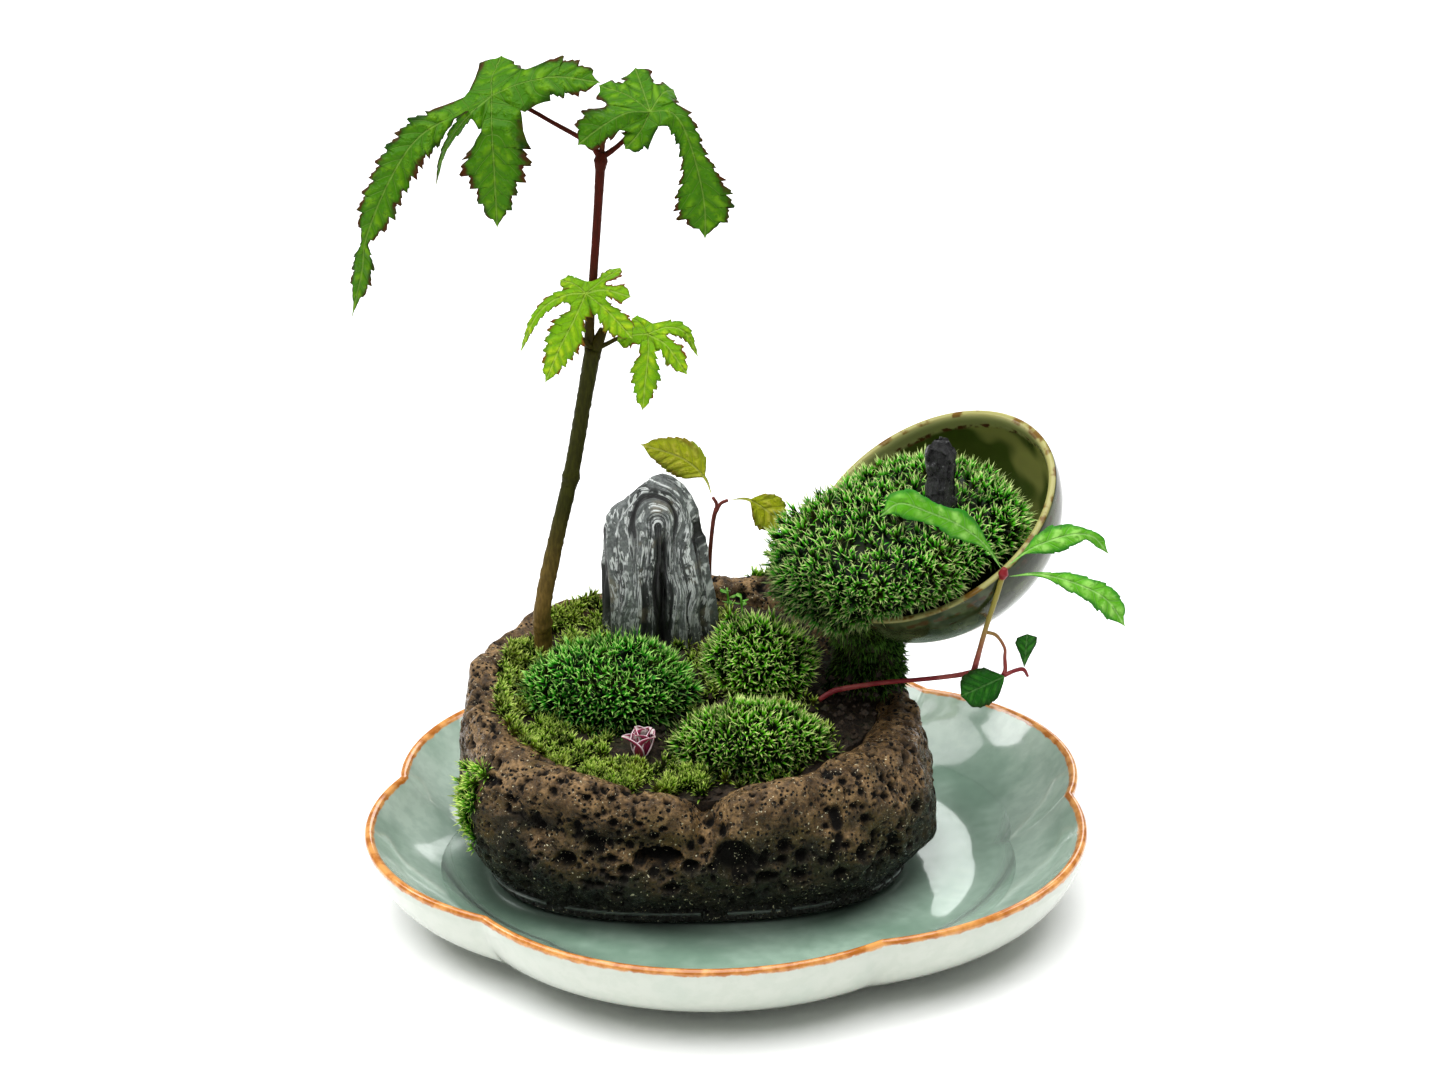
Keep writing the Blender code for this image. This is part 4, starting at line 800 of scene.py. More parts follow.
def rock_pores(verts, steps, rows):
    """How deep each point of the rock's skin lies in its bubbles, and how much painted shade darkens it
    there.
    """
    rng = random.Random(SEED)
    tree = kdtree.KDTree(len(verts))
    for i, point in enumerate(verts):
        tree.insert(point, i)
    tree.balance()
    spots = [(rock_point(math.radians(degrees), up), size, oval)
             for degrees, up, size, oval in ROCK_HOLES]
    for _ in range(ROCK_PORES):
        i = rng.randrange(steps * 8, steps * (rows - 22))
        if noise.noise(Vector(verts[i]) / 13) > rng.uniform(-0.5, 0.1):
            spots.append((Vector(verts[i]), 0.5 + 1.6 * rng.random() ** 5, rng.uniform(0.6, 1.7)))
    sink = np.zeros(len(verts))
    pit = np.zeros(len(verts))
    for spot, size, oval in spots:
        for point, i, _ in tree.find_range(spot, size * 1.3):
            way = point - spot
            off = math.sqrt(way.x ** 2 + way.y ** 2 + (way.z * oval) ** 2) / size
            bowl = max(0.0, 1.0 - off * off)
            sink[i] = max(sink[i], 1.2 * size * math.sqrt(bowl))
            pit[i] = max(pit[i], min(1.0, 2.2 * bowl))
    return sink, pit


def make_rock():
    """Adds the ledge, bubbles and grain of the lava to the CAD rock's form."""
    steps = 740
    rows = 128
    skin = rock_grid(steps, rows)
    verts = skin.reshape(-1, 3)
    faces = grid_faces(rows, steps)
    normals = normals_of(verts, faces)
    angles = np.tile(2 * math.pi * np.arange(steps) / steps, rows)
    rims = np.array([rim_height(angle) for angle in angles[:steps]])[np.arange(len(verts)) % steps]
    out, lift = rock_wear(angles, verts[:, 2], rims)
    around = np.stack([np.cos(angles), np.sin(angles), np.zeros(len(angles))], -1)
    verts = verts + around * out[:, None]
    verts[:, 2] += lift
    rise = 1.0 * rough(verts, 11.0, 3.0) + 0.22 * rough(verts, 3.2, 5.0)
    rise += 1.1 * (0.35 - np.abs(rough(verts, 17.0, 9.0, 2)))
    foot = smooth_step(PLATE_FLOOR + 1.0, PLATE_FLOOR + 6.0, verts[:, 2])
    verts = verts + normals * (rise * foot)[:, None]
    sink, pit = rock_pores(verts, steps, rows)
    facing = normals_of(verts, faces)
    verts = verts - normals * np.minimum(sink, 5.0)[:, None] * foot[:, None]
    height = (verts[:, 2] - PLATE_FLOOR) / 45.0
    up = (verts[:, 2] - ROCK_SKIRT_TOP) / (rims - ROCK_SKIRT_TOP)
    # painted light: faces turned up and the band below the rim count as lit, partly also the rim's own
    # redder colour
    lit = np.maximum(smooth_step(0.05, 0.6, facing[:, 2]), smooth_step(0.66, 0.88, up))
    verts = np.concatenate([verts, [(*ROCK_CENTRE, PLATE_FLOOR + 0.4), (*ROCK_CENTRE, ROCK_BED)]])
    place("lava_rock_porous", verts, closed_faces(rows, steps), rock_paint(), ("lava_rock",),
          "lava_rock", height=np.append(height, (0, 0)), pit=np.append(pit * foot, (0, 0)),
          lit=np.append(lit, (0, 0)))


def crumb(rng, spot, size):
    """Points and faces of one angular crumb."""
    shape = [(1, 0, 0), (0, 1, 0), (-1, 0, 0), (0, -1, 0), (0, 0, 1), (0, 0, -1)]
    points = [Vector(spot) + Vector(p) * size * rng.uniform(0.6, 1.3) for p in shape]
    faces = [(0, 1, 4), (1, 2, 4), (2, 3, 4), (3, 0, 4), (1, 0, 5), (2, 1, 5), (3, 2, 5), (0, 3, 5)]
    return points, faces


def make_soil():
    rng = random.Random(SEED + 1)
    steps = 240
    rows = 56
    verts = []
    for k in range(rows):
        share = (k + 1) / rows
        for angle in turns(steps):
            x, y = rock_outline(angle, lip_share(angle) - 0.012)
            x = ROCK_CENTRE[0] + (x - ROCK_CENTRE[0]) * share
            y = ROCK_CENTRE[1] + (y - ROCK_CENTRE[1]) * share
            verts.append((x, y, min(soil_level(y), rim_height(angle) - 1.0)))
    verts = np.array(verts)
    verts[:, 2] += 1.3 * rough(verts, 9.0, 2.0) + 0.6 * rough(verts, 2.4, 6.0)
    low = [(*rock_outline(angle, ROCK_BED_SHARE), ROCK_BED + 0.5) for angle in turns(steps)]
    ends = [(*ROCK_CENTRE, soil_level(ROCK_CENTRE[1])), (*ROCK_CENTRE, ROCK_BED + 0.5)]
    points = np.concatenate([verts, low, ends]).tolist()
    faces = [face[::-1] for face in closed_faces(rows + 1, steps)]
    wide = SOIL_HALF_WIDTH
    deep = SOIL_HALF_DEPTH
    for _ in range(SOIL_CRUMBS):
        x = ROCK_CENTRE[0] + rng.uniform(-wide, wide)
        y = ROCK_CENTRE[1] + rng.uniform(-deep, deep)
        if (x - ROCK_CENTRE[0]) ** 2 / wide ** 2 + (y - ROCK_CENTRE[1]) ** 2 / (deep - 1) ** 2 > 1:
            continue
        size = 0.4 + 1.1 * rng.random() ** 2
        add_part(points, faces, *crumb(rng, (x, y, soil_level(y) + 0.3 * size), size))
    place("soil_crumbly", points, faces, soil_paint("soil"), ("soil",), "soil", smooth=False)


# Moss

def moss_leaves(feet, ways, rng, leaves, length, width):
    """Arrays of one star of narrow curved leaves on each foot: (points, faces, tip, tone)."""
    count = len(feet)
    total = count * leaves
    axis = np.repeat(unit(ways), leaves, 0)
    helper = np.where(np.abs(axis[:, 2:]) < 0.9, (0.0, 0.0, 1.0), (1.0, 0.0, 0.0))
    one = unit(np.cross(axis, helper))
    two = np.cross(axis, one)
    order = np.tile(np.arange(leaves), count)
    level = order / max(leaves - 1, 1)
    turn = order * GOLDEN_TURN + np.repeat(rng.random(count) * 6.28, leaves) + rng.normal(0, 0.3, total)
    out = one * np.cos(turn)[:, None] + two * np.sin(turn)[:, None]
    tilt = MOSS_SPLAY[1] + (MOSS_SPLAY[0] - MOSS_SPLAY[1]) * level ** 0.9 + rng.normal(0, 0.16, total)
    reach = length * rng.uniform(0.65, 1.15, total) * np.repeat(rng.uniform(0.75, 1.15, count), leaves)
    spot = np.repeat(feet, leaves, 0) + axis * (level * 1.4 - 1.4)[:, None] + out * 0.15
    flat = unit(np.cross(axis * np.cos(tilt)[:, None] + out * np.sin(tilt)[:, None], axis + 0.01 * one))
    wide = (0.5 * width * rng.uniform(0.8, 1.2, total))[:, None]
    points = []
    for share, bend in ((0.8, 0.75), (1.0, 0.95), (0.7, 1.2)):
        points += [spot - flat * wide * share, spot + flat * wide * share]
        angle = tilt * bend
        spot = spot + (axis * np.cos(angle)[:, None] + out * np.sin(angle)[:, None]) * (reach / 3)[:, None]
    verts = np.stack([*points, spot], 1)
    sides = np.array([(0, 1, 3), (0, 3, 2), (2, 3, 5), (2, 5, 4), (4, 5, 6)])
    faces = (np.arange(total)[:, None, None] * 7 + sides[None]).reshape(-1, 3)
    tip = np.tile((0.0, 0.0, 0.33, 0.33, 0.68, 0.68, 1.0), total)
    # painted shade: a shoot's outer, lower leaves keep less of the pale tip
    tip = tip * np.repeat(0.82 + 0.18 * level ** 0.6, 7)
    tone = np.repeat(np.repeat(rng.random(count), leaves), 7)
    return verts.reshape(-1, 3), faces.tolist(), tip, tone


def ball(count):
    """Evenly spread points of a unit ball."""
    i = np.arange(count)
    z = 1 - 2 * (i + 0.5) / count
    radius = np.sqrt(1 - z * z)
    turn = math.pi * (3 - math.sqrt(5)) * i
    return np.stack([radius * np.cos(turn), radius * np.sin(turn), z], -1)


def grow(name, nodes, paint, slot, feet, ways, seed, body=None, leaves=13, length=5.6, width=0.72):
    """A piece of moss: a shoot on each foot, over a cushion's body painted near black as shade, where it has
    one.
    """
    rng = np.random.default_rng(seed)
    leafy = moss_leaves(np.array(feet), np.array(ways), rng, leaves, length, width)
    if body:
        # painted shade: the body takes the leaves' near-black base colour
        dark = np.zeros(len(body[0]))
        verts, faces = joined((body, leafy[:2]))
        tip, tone = (np.append(dark, values) for values in leafy[2:])
    else:
        verts, faces, tip, tone = leafy
    place(name, verts, faces, paint, nodes, slot, smooth=False, tip=tip, tone=tone)


def dome(name, spot, half_width, half_depth, height, shoots, paint, slot, leaves=13, length=5.4,
         tip=MOSS_TIP):
    """A cushion of moss that sits on the soil's slope."""
    rng = np.random.default_rng(len(name) + shoots)
    slope = Matrix.Rotation(math.atan(SOIL_SLOPE), 4, "X")
    seat = Matrix.Translation((*spot, soil_level(spot[1]))) @ slope
    sizes = np.array((half_width - tip, half_depth - tip, height - tip))
    shape = ball(2 * shoots)
    shape = shape + rng.normal(0, 0.012, shape.shape)
    shape = unit(shape[shape[:, 2] > -0.05])
    swell = np.array([1 + 0.10 * noise.noise(Vector(v) * 1.6 + Vector((len(name), spot[0], 0)))
                      for v in shape])[:, None]
    wave = 0.6 * rng.normal(0, 1, len(shape))[:, None]
    normal = unit(shape / sizes)
    feet = shape * sizes * swell + normal * wave
    ways = unit(normal + (0, 0, 0.25) + rng.normal(0, 0.12, shape.shape))
    turn = np.array(slope.to_3x3())
    move = np.array(seat.translation)
    rows = 12
    steps = 48
    body = ball_rings([math.pi / 2 * k / rows for k in range(rows)], steps)
    body = np.array(body + [(0, 0, 1), (0, 0, 0)]) * (sizes - 1.4)
    grow(name + "_leafy", (name,), paint, slot, feet @ turn.T + move, ways @ turn.T, shoots,
         (body @ turn.T + move, closed_faces(rows, steps, top_first=True)), leaves, length)


def cup_frame():
    """The cup's own axes and place: its mouth at zero, its foot below."""
    turn = Vector((0, 0, 1)).rotation_difference(Vector(CUP_AXIS).normalized())
    return Matrix.Translation(CUP_MOUTH) @ turn.to_matrix().to_4x4()


def tree_of(name):
    """Search tree of a CAD node's surface, in metres."""
    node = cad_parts[name]
    corners = [node.matrix_world @ vert.co for vert in node.data.vertices]
    return BVHTree.FromPolygons(corners, [tuple(face.vertices) for face in node.data.polygons])


def cup_moss_form(points):
    """The cup cushion's rounded, dented form, along its own axes, from points of a unit ball."""
    power = (np.abs(points) ** CUP_MOSS_SQUARENESS).sum(1) ** (-1 / CUP_MOSS_SQUARENESS)
    swell = np.array([1 + 0.07 * noise.noise(Vector(v) * 1.8) for v in points])
    swell *= 1 - CUP_MOSS_DENT * smooth_step(0.80, 0.96, unit(points) @ CUP_MOSS_DENT_WAY)
    return points * np.array(CUP_MOSS_HALF) * (power * swell)[:, None]


def cup_moss(paint):
    """The big cushion, on the CAD cushion's rounded form, wherever that has its skin."""
    rng = np.random.default_rng(5)
    up = Vector(CUP_SOIL_UP).normalized()
    across = Vector((CUP_AXIS[1], -CUP_AXIS[0], 0)).normalized()
    along = across.cross(up).normalized()
    axes = np.array((along, across, up))
    solid = tree_of("moss_cushion_cup")
    wall = tree_of("tea_cup")
    count = CUP_MOSS_SHOOTS
    points = unit(ball(count) + rng.normal(0, 0.018, (count, 3)))
    normal = unit(points * np.abs(points) ** (CUP_MOSS_SQUARENESS - 2) / np.array(CUP_MOSS_HALF))
    spots = cup_moss_form(points) @ axes + CUP_MOSS_MIDDLE
    ways = normal @ axes
    keep = []
    for spot, way in zip(spots, ways):
        foot = framed(spot)
        end = framed(spot + 2.4 * way)
        clear = min(wall.find_nearest(foot)[3], wall.find_nearest(end)[3])
        near = solid.find_nearest(foot)[3] < CUP_MOSS_NEAR * MM
        keep.append(near and clear > CUP_MOSS_CLEAR * MM)
    keep = np.array(keep)
    feet = spots[keep] - CUP_MOSS_SINK * ways[keep]
    ways = unit(ways[keep] + (0, 0, 0.2) + rng.normal(0, 0.14, (keep.sum(), 3)))
    feet = feet + ways * rng.normal(0, 0.7, (len(feet), 1))
    rows = 40
    steps = 80
    body = ball_rings([math.pi * k / rows - math.pi / 2 for k in range(1, rows)], steps)
    body = cup_moss_form(np.array(body + [(0, 0, 1), (0, 0, -1)]))
    body = body * (1 - CUP_MOSS_DEPTH / np.linalg.norm(body, axis=1))[:, None] @ axes + CUP_MOSS_MIDDLE
    for i, spot in enumerate(body):
        near, _, _, gap = solid.find_nearest(framed(spot))
        if gap > CUP_MOSS_GAP * MM:
            body[i] = np.array(near) / MM - SHIFT
    grow("moss_cushion_cup_leafy", ("moss_cushion_cup",), paint, "moss_green", feet, ways, 77,
         (body, closed_faces(rows - 1, steps, top_first=True)))


def moss_on_rock(paint):
    """The tuft on the rock's left side and wisps along its back rim."""
    rng = np.random.default_rng(9)
    feet = []
    ways = []
    for degrees, up, wide, tall, count in ROCK_TUFTS:
        for _ in range(count):
            angle = math.radians(degrees + rng.normal(0, wide * 0.5))
            spot = rock_point(angle, min(up + rng.normal(0, tall * 0.6), 1.0))
            feet.append(spot + Vector((0, 0, 0.3)))
            ways.append(outward(angle, 0.45) + Vector(rng.normal(0, 0.25, 3)))
    grow("moss_tuft_rock", (), paint, "moss_green", feet, ways, 12, leaves=14, length=4.6, width=0.7)


def moss_on_roots():
    """Dark moss that hangs down the root ball below the cup."""
    rng = np.random.default_rng(10)
    feet = []
    ways = []
    for _ in range(ROOT_SHOOTS):
        share = 1 - 0.85 * rng.random()
        spot = through(ROOT_PATH, share)
        angle = rng.uniform(-math.pi, 0.5)
        out = outward(angle)
        feet.append(spot + out * (between(ROOT_RADII, share) + 0.4))
        ways.append(out + Vector((0, 0, -1.6)) + Vector(rng.normal(0, 0.4, 3)))
    shade = moss_paint("moss_shade", (0.001, 0.003, 0.001), (0.010, 0.045, 0.003), (0.09, 0.22, 0.03))
    grow("moss_roots_hanging", (), shade, "moss_green", feet, ways, 14, leaves=11, length=4.6,
         width=0.6)


def bare(x, y):
    """Whether a spot lies in the bare soil round the sprout."""
    return math.hypot(x - BARE_PLACE[0], y - BARE_PLACE[1]) < BARE_RADIUS


def moss_rim(paint):
    """Low moss that creeps over the soil and up the inner side of the rock's rim."""
    rng = np.random.default_rng(21)
    feet = []
    ways = []
    for _ in range(RIM_SHOOTS):
        angle = math.radians(rng.uniform(126, 276))
        top = 0.81 - 0.065 * float(smooth_step(205, 225, math.degrees(angle)))
        share = top - 0.25 * rng.random() ** 1.2
        x, y = rock_outline(angle, share)
        if noise.noise(Vector((x, y, 0)) / 7) < -0.02 or bare(x, y):
            continue
        rim = rim_height(angle)
        wall = float(np.interp(share, (0.69, 0.74, ROCK_LIP_SHARE, ROCK_CREST_SHARE),
                               (rim - WALL_FOOT_DROP, rim - WALL_DROP, rim - LIP_DROP,
                                rim + CREST_RISE)))
        feet.append((x, y, max(soil_level(y), wall) + rng.uniform(0.4, 2.6)))
        ways.append(Vector((0, -0.2, 1)) - outward(angle) * 0.4 + Vector(rng.normal(0, 0.3, 3)))
    for _ in range(GROUND_SHOOTS):
        x = rng.uniform(-60, 38)
        y = rng.uniform(-36, 42)
        share = math.hypot((x - ROCK_CENTRE[0]) / SOIL_HALF_WIDTH,
                           (y - ROCK_CENTRE[1]) / SOIL_HALF_DEPTH)
        under_cup = x + 0.6 * y > 26
        if share > 0.98 or under_cup or bare(x, y) or noise.noise(Vector((x, y, 3)) / 7) < 0.0:
            continue
        feet.append((x, y, soil_level(y) + 0.6))
        ways.append(Vector((0, -0.3, 1)) + Vector(rng.normal(0, 0.3, 3)))
    grow("moss_rim_creeping", (), paint, "moss_olive", feet, ways, 30, leaves=12, length=3.8,
         width=0.7)


def make_moss():
    dark = moss_paint("moss_dark", (0.001, 0.008, 0.001), (0.030, 0.38, 0.006), (0.58, 1.0, 0.24),
                      yellow=0.12, shade=(68, 55))
    green = moss_paint("moss_green", (0.003, 0.010, 0.001), (0.13, 0.58, 0.006), (0.84, 1.0, 0.34),
                       shade=(62, 49))
    cup = moss_paint("moss_cup", (0.001, 0.008, 0.001), (0.085, 0.60, 0.010), (0.84, 1.0, 0.38),
                     shade=(112, 93))
    olive = moss_paint("moss_olive", (0.006, 0.012, 0.002), (0.15, 0.34, 0.006), (0.76, 0.94, 0.22),
                       yellow=0.4)
    dome("moss_cushion_left", (-35.5, 5.5), 27.0, 19.5, 18.0, 215, dark, "moss_dark")
    dome("moss_cushion_back", (9.3, 16.5), 18.6, 16.5, 16.5, 145, green, "moss_green")
    dome("moss_cushion_front", (6.2, -18.5), 24.3, 15.0, 16.0, 172, green, "moss_green")
    dome("moss_carpet_left", (-52.6, -16.0), 6.6, 9.0, 4.5, 60, olive, "moss_olive", leaves=12,
         length=3.0, tip=2.0)
    dome("moss_carpet_front", (-33.0, -27.5), 13.0, 7.0, 4.5, 84, olive, "moss_olive", leaves=12,
         length=3.0, tip=2.0)
    cup_moss(cup)
    moss_on_rock(moss_paint("moss_tuft", (0.010, 0.050, 0.003), (0.12, 0.46, 0.008), (0.80, 1.0, 0.24)))
    moss_on_roots()
    moss_rim(olive)


# Stones

def ridge_point(angle, share, z, shift, half):
    """Point of the fluted skin, its place in the flutes' flow, and how deep it lies in one."""
    place_x, place_y = RIDGE_PLACE
    arch_x, arch_z = RIDGE_ARCH
    c = math.cos(angle)
    s = math.sin(angle)
    across = place_x + shift + half * c - arch_x
    q = math.hypot(across, 0.8 * max(z - arch_z, 0.0)) + 0.16 * across
    q += 1.3 * noise.noise(Vector((across / 9, z / 13, 0.0)))
    lane = 0.0 if s < 0 else 7.0
    flute = noise.noise(Vector((q / 2.6, z / 60, lane)))
    fine = noise.noise(Vector((q / 1.1, z / 30, lane + 5)))
    split = math.exp(-((across - 1.6 - 0.02 * (z - 90)) / 1.1) ** 2) if s < 0 else 0.0
    split *= float(smooth_step(arch_z + 1, arch_z - 8, z))
    groove = 0.07 * math.sin(9 * angle + 2.0) + 0.05 * math.sin(17 * angle + 4 * share)
    wild = 0.10 * noise.noise(Vector((2 * c, 2 * s, 3 * share)))
    reach = half * (1 + groove * (1 - 0.4 * share) + wild)
    relief = min(1.0, half / 6) * (1.2 - 2.8 * abs(flute) - 1.6 * abs(fine) - 3.2 * split)
    point = (place_x + shift + (reach + 0.4 * relief) * c, place_y + (0.47 * reach + relief) * s, z)
    deep = max(0.85 * split, float(smooth_step(0.30, 0.5, abs(flute))))
    return point, (q, z * 0.07, lane), deep


def make_ridge_stone():
    """Upright stone whose flutes run up its sides and arch over near the top."""
    place_x, place_y = RIDGE_PLACE
    foot = soil_level(place_y) - 6.0
    tall = RIDGE_TOP - foot
    shares, shifts, halves = zip(*RIDGE_LEVELS)
    steps = 300
    rows = 150
    skin = []
    for k in range(rows):
        share = 1 - (1 - k / (rows - 1)) ** 1.35
        shift = float(np.interp(share, shares, shifts))
        half = float(np.interp(share, shares, halves))
        skin += [ridge_point(angle, share, foot + tall * share, shift, half)
                 for angle in turns(steps)]
    top = (place_x + shifts[-1], place_y, foot + tall + 0.05)
    skin += [((place_x, place_y, foot), (0, 0, 0), 0), (top, (0, 0, 0), 0)]
    verts, flow, deep = zip(*skin)
    verts = np.array(verts)
    place("ridge_stone_fluted", verts, closed_faces(rows, steps), stone_paint(), ("ridge_stone",),
          "grey_stone", height=(verts[:, 2] - 62) / 58, flow=flow, deep=deep)


def make_dark_stone():
    """Small rough stone: the CAD stone's form, chipped into flat planes."""
    bm = bmesh.new()
    bm.from_mesh(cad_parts["dark_stone"].data)
    bmesh.ops.transform(bm, verts=bm.verts, matrix=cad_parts["dark_stone"].matrix_world)
    bmesh.ops.subdivide_edges(bm, edges=bm.edges, cuts=9, use_grid_fill=True)
    bm.normal_update()
    bmesh.ops.triangulate(bm, faces=bm.faces)
    verts = np.array([v.co for v in bm.verts]) / MM - SHIFT
    normals = np.array([v.normal for v in bm.verts])
    chips = []
    for point in verts:
        near = noise.voronoi(Vector(point) / 3.6)[1][0]
        chips.append(noise.cell(near * 7.0) + 0.5 * noise.noise(Vector(point) / 2.0))
    faces = [[v.index for v in face.verts] for face in bm.faces]
    bm.free()
    verts = verts + normals * (0.55 * (np.array(chips) - 0.7))[:, None]
    place("dark_stone_rough", verts, faces, dark_stone_paint(), ("dark_stone",), "dark_stone",
          smooth=False)


# Stems

def tube(points, radii, steps, sides=14, wobble=0.05):
    """Points and faces of a round stem through the points, closed at both ends."""
    path = [through(points, i / steps) for i in range(steps + 1)]
    side = None
    verts = []
    for i, spot in enumerate(path):
        ahead = (path[min(i + 1, steps)] - path[max(i - 1, 0)]).normalized()
        if side is None:
            side = ahead.orthogonal().normalized()
        side = (side - ahead * side.dot(ahead)).normalized()
        other = ahead.cross(side)
        radius = between(radii, i / steps)
        for k, angle in enumerate(turns(sides)):
            reach = radius * (1 + wobble * noise.noise(spot * 0.9 + Vector((k, 0, 0)) * 0.4))
            verts.append(spot + (side * math.cos(angle) + other * math.sin(angle)) * reach)
    return verts + [path[0], path[-1]], closed_faces(steps + 1, sides)


def make_maple_stem():
    parts = [
        tube(((-55.5, 26, 62), (-55.5, 25, 72), (-54.9, 20.5, 84), (-50, 20, 106), (-45.3, 20, 125),
              (-41, 20, 147), (-37.6, 20, 164.5)), (2.9, 2.6, 2.5, 2.3, 2.35, 2.3, 2.5), 90, 20, 0.12),
        tube(((-37.9, 20, 162), (-36.4, 20, 166), (-34.4, 20, 170.5)), (2.3, 1.9, 1.3), 8),
        tube(((-45.9, 20, 122.2), (-45.3, 20, 124.5), (-44.8, 20, 126.8)), (2.3, 2.8, 2.3), 10),
        tube(((-55.6, 24, 74), (-55.4, 23, 76.5), (-55.2, 22, 79)), (2.4, 3.2, 2.4), 10),
        tube(((-38.6, 20.5, 163), (-38.4, 20, 172), (-37, 20, 186), (-35.2, 20, 205),
              (-33.8, 20, 221.5)), (1.7, 1.3, 1.25, 1.3, 1.5), 60),
        tube(((-34, 20, 219), (-33.7, 20, 222), (-33.4, 20, 224.6)), (1.5, 2.1, 1.2), 8),
        tube(((-33.6, 20, 223), (-33.2, 20, 226), (-32.4, 20, 229.5)), (0.9, 0.8, 0.3), 8),
        tube(((-33.8, 20, 222.6), (-37, 20.2, 227), (-47, 20.6, 233.2), (-57, 21, 239),
              (-64.2, 20.6, 240.9)), (1.0, 0.75, 0.65, 0.65, 0.6), 40, 10),
        tube(((-33.4, 20, 222.8), (-28.4, 20.8, 226.2), (-23, 22, 231.5), (-19.6, 22.2, 235.2)),
             (1.0, 0.75, 0.65, 0.6), 26, 10),
        tube(((-38.4, 19, 165.5), (-41.6, 15.2, 171), (-42, 13.8, 177), (-39.5, 15.3, 182.6)),
             (0.9, 0.65, 0.6, 0.55), 24, 10),
        tube(((-37, 19.6, 164.6), (-33.8, 19.6, 166), (-29.6, 19.4, 168), (-25, 18.2, 168.4),
              (-21.7, 16.8, 169.4)), (0.9, 0.7, 0.6, 0.6, 0.55), 24, 10)]
    paint = bark_paint("maple_bark", (0.19, 0.12, 0.03), (0.038, 0.040, 0.006), (0.075, 0.010, 0.005),
                       (80, 118), (158, 196))
    place("maple_stem_barked", *joined(parts), paint, ("maple_stem",), "maple_bark")


def make_sprig_stem():
    red = [tube(((27.0, 1.0, 59.2), (29.8, 1.5, 60.9), (33, 2, 62), (45, 0.4, 64.6),
                 (57, -2.6, 66.8), (67, -4.8, 68.8), (73.4, -6, 70.6)),
                (0.8, 0.8, 0.75, 0.7, 0.7, 0.75, 0.85), 70, 12),
           tube(((80.5, -8.9, 101), (80.9, -9, 102.8), (81.3, -9.1, 104.6)), (0.8, 1.6, 0.8), 10),
           tube(((81.4, -7.2, 69.6), (84.6, -6.6, 70.8), (87.2, -6, 70.9), (88.6, -6, 68.6)),
                (0.7, 0.65, 0.65, 0.4), 20, 10)]
    green = [tube(((72.6, -5.9, 70.4), (73.4, -6.2, 74), (75.8, -7, 84), (78.6, -8, 94),
                   (80.9, -9, 102.6)), (1.0, 0.8, 0.75, 0.8, 0.8), 40, 12),
             tube(((75.8, -7, 83.6), (79.2, -5.6, 81.8), (81.7, -4.6, 77.4), (81.8, -4.4, 74),
                   (81.9, -5.6, 71.0), (81.2, -7, 69.6)), (0.6, 0.55, 0.5, 0.5, 0.6, 0.7), 34, 10)]
    place("sprig_stem_smooth", *joined(red + green), runner_paint(), ("sprig_stem",), "red_stem")


def make_seedling_stem():
    parts = [tube(((-5.6, 40.5, 66), (-5.2, 39.4, 77), (-4.8, 38.6, 90), (-3.6, 37.4, 102),
                   (-2.6, 36.8, 106.8)), (0.95, 0.8, 0.7, 0.65, 0.7), 50, 12),
             tube(((-2.6, 36.8, 106), (-2.4, 36.8, 108.4), (-3.5, 36.9, 110.5)), (0.65, 0.55, 0.5), 12),
             tube(((-2.6, 36.8, 106), (-1.2, 36.4, 108.6), (1.0, 36.1, 109.8)), (0.65, 0.55, 0.5), 12)]
    paint = bark_paint("seedling_stem", (0.12, 0.07, 0.03), (0.16, 0.05, 0.03), (0.24, 0.06, 0.05),
                       (72, 84), (94, 108))
    place("seedling_stem_thin", *joined(parts), paint, ("seedling_stem",), "seedling_stem")


# Leaves

def rib_frame(path, share, face):
    """A spot of a lobe's rib and the three ways there: ahead, to the side and out of its face."""
    spot = through(path, share)
    ahead = (through(path, share + 0.02) - through(path, share - 0.02)).normalized()
    side = Vector(face).normalized().cross(ahead).normalized()
    return spot, ahead, side, ahead.cross(side)


def lobe_reach(spot, wide, beside, rib):
    """How far a lobe reaches towards the lobe beside it, so that it clears that one's rib."""
    off = min((spot - other).length for other in rib)
    room = max(0.47 * off, off - max(beside[2]) - 1.0)
    return min(wide, max(room, 0.3))


def tooth(turn, depth):
    """Place within a tooth, and how far the margin reaches there, at a count of teeth along it."""
    phase = turn % 1.0
    fine = (turn * 2.6 + 0.3) % 1.0
    return phase, 1.0 + depth * (0.4 - (1.0 - phase) - 0.3 * (1.0 - fine))


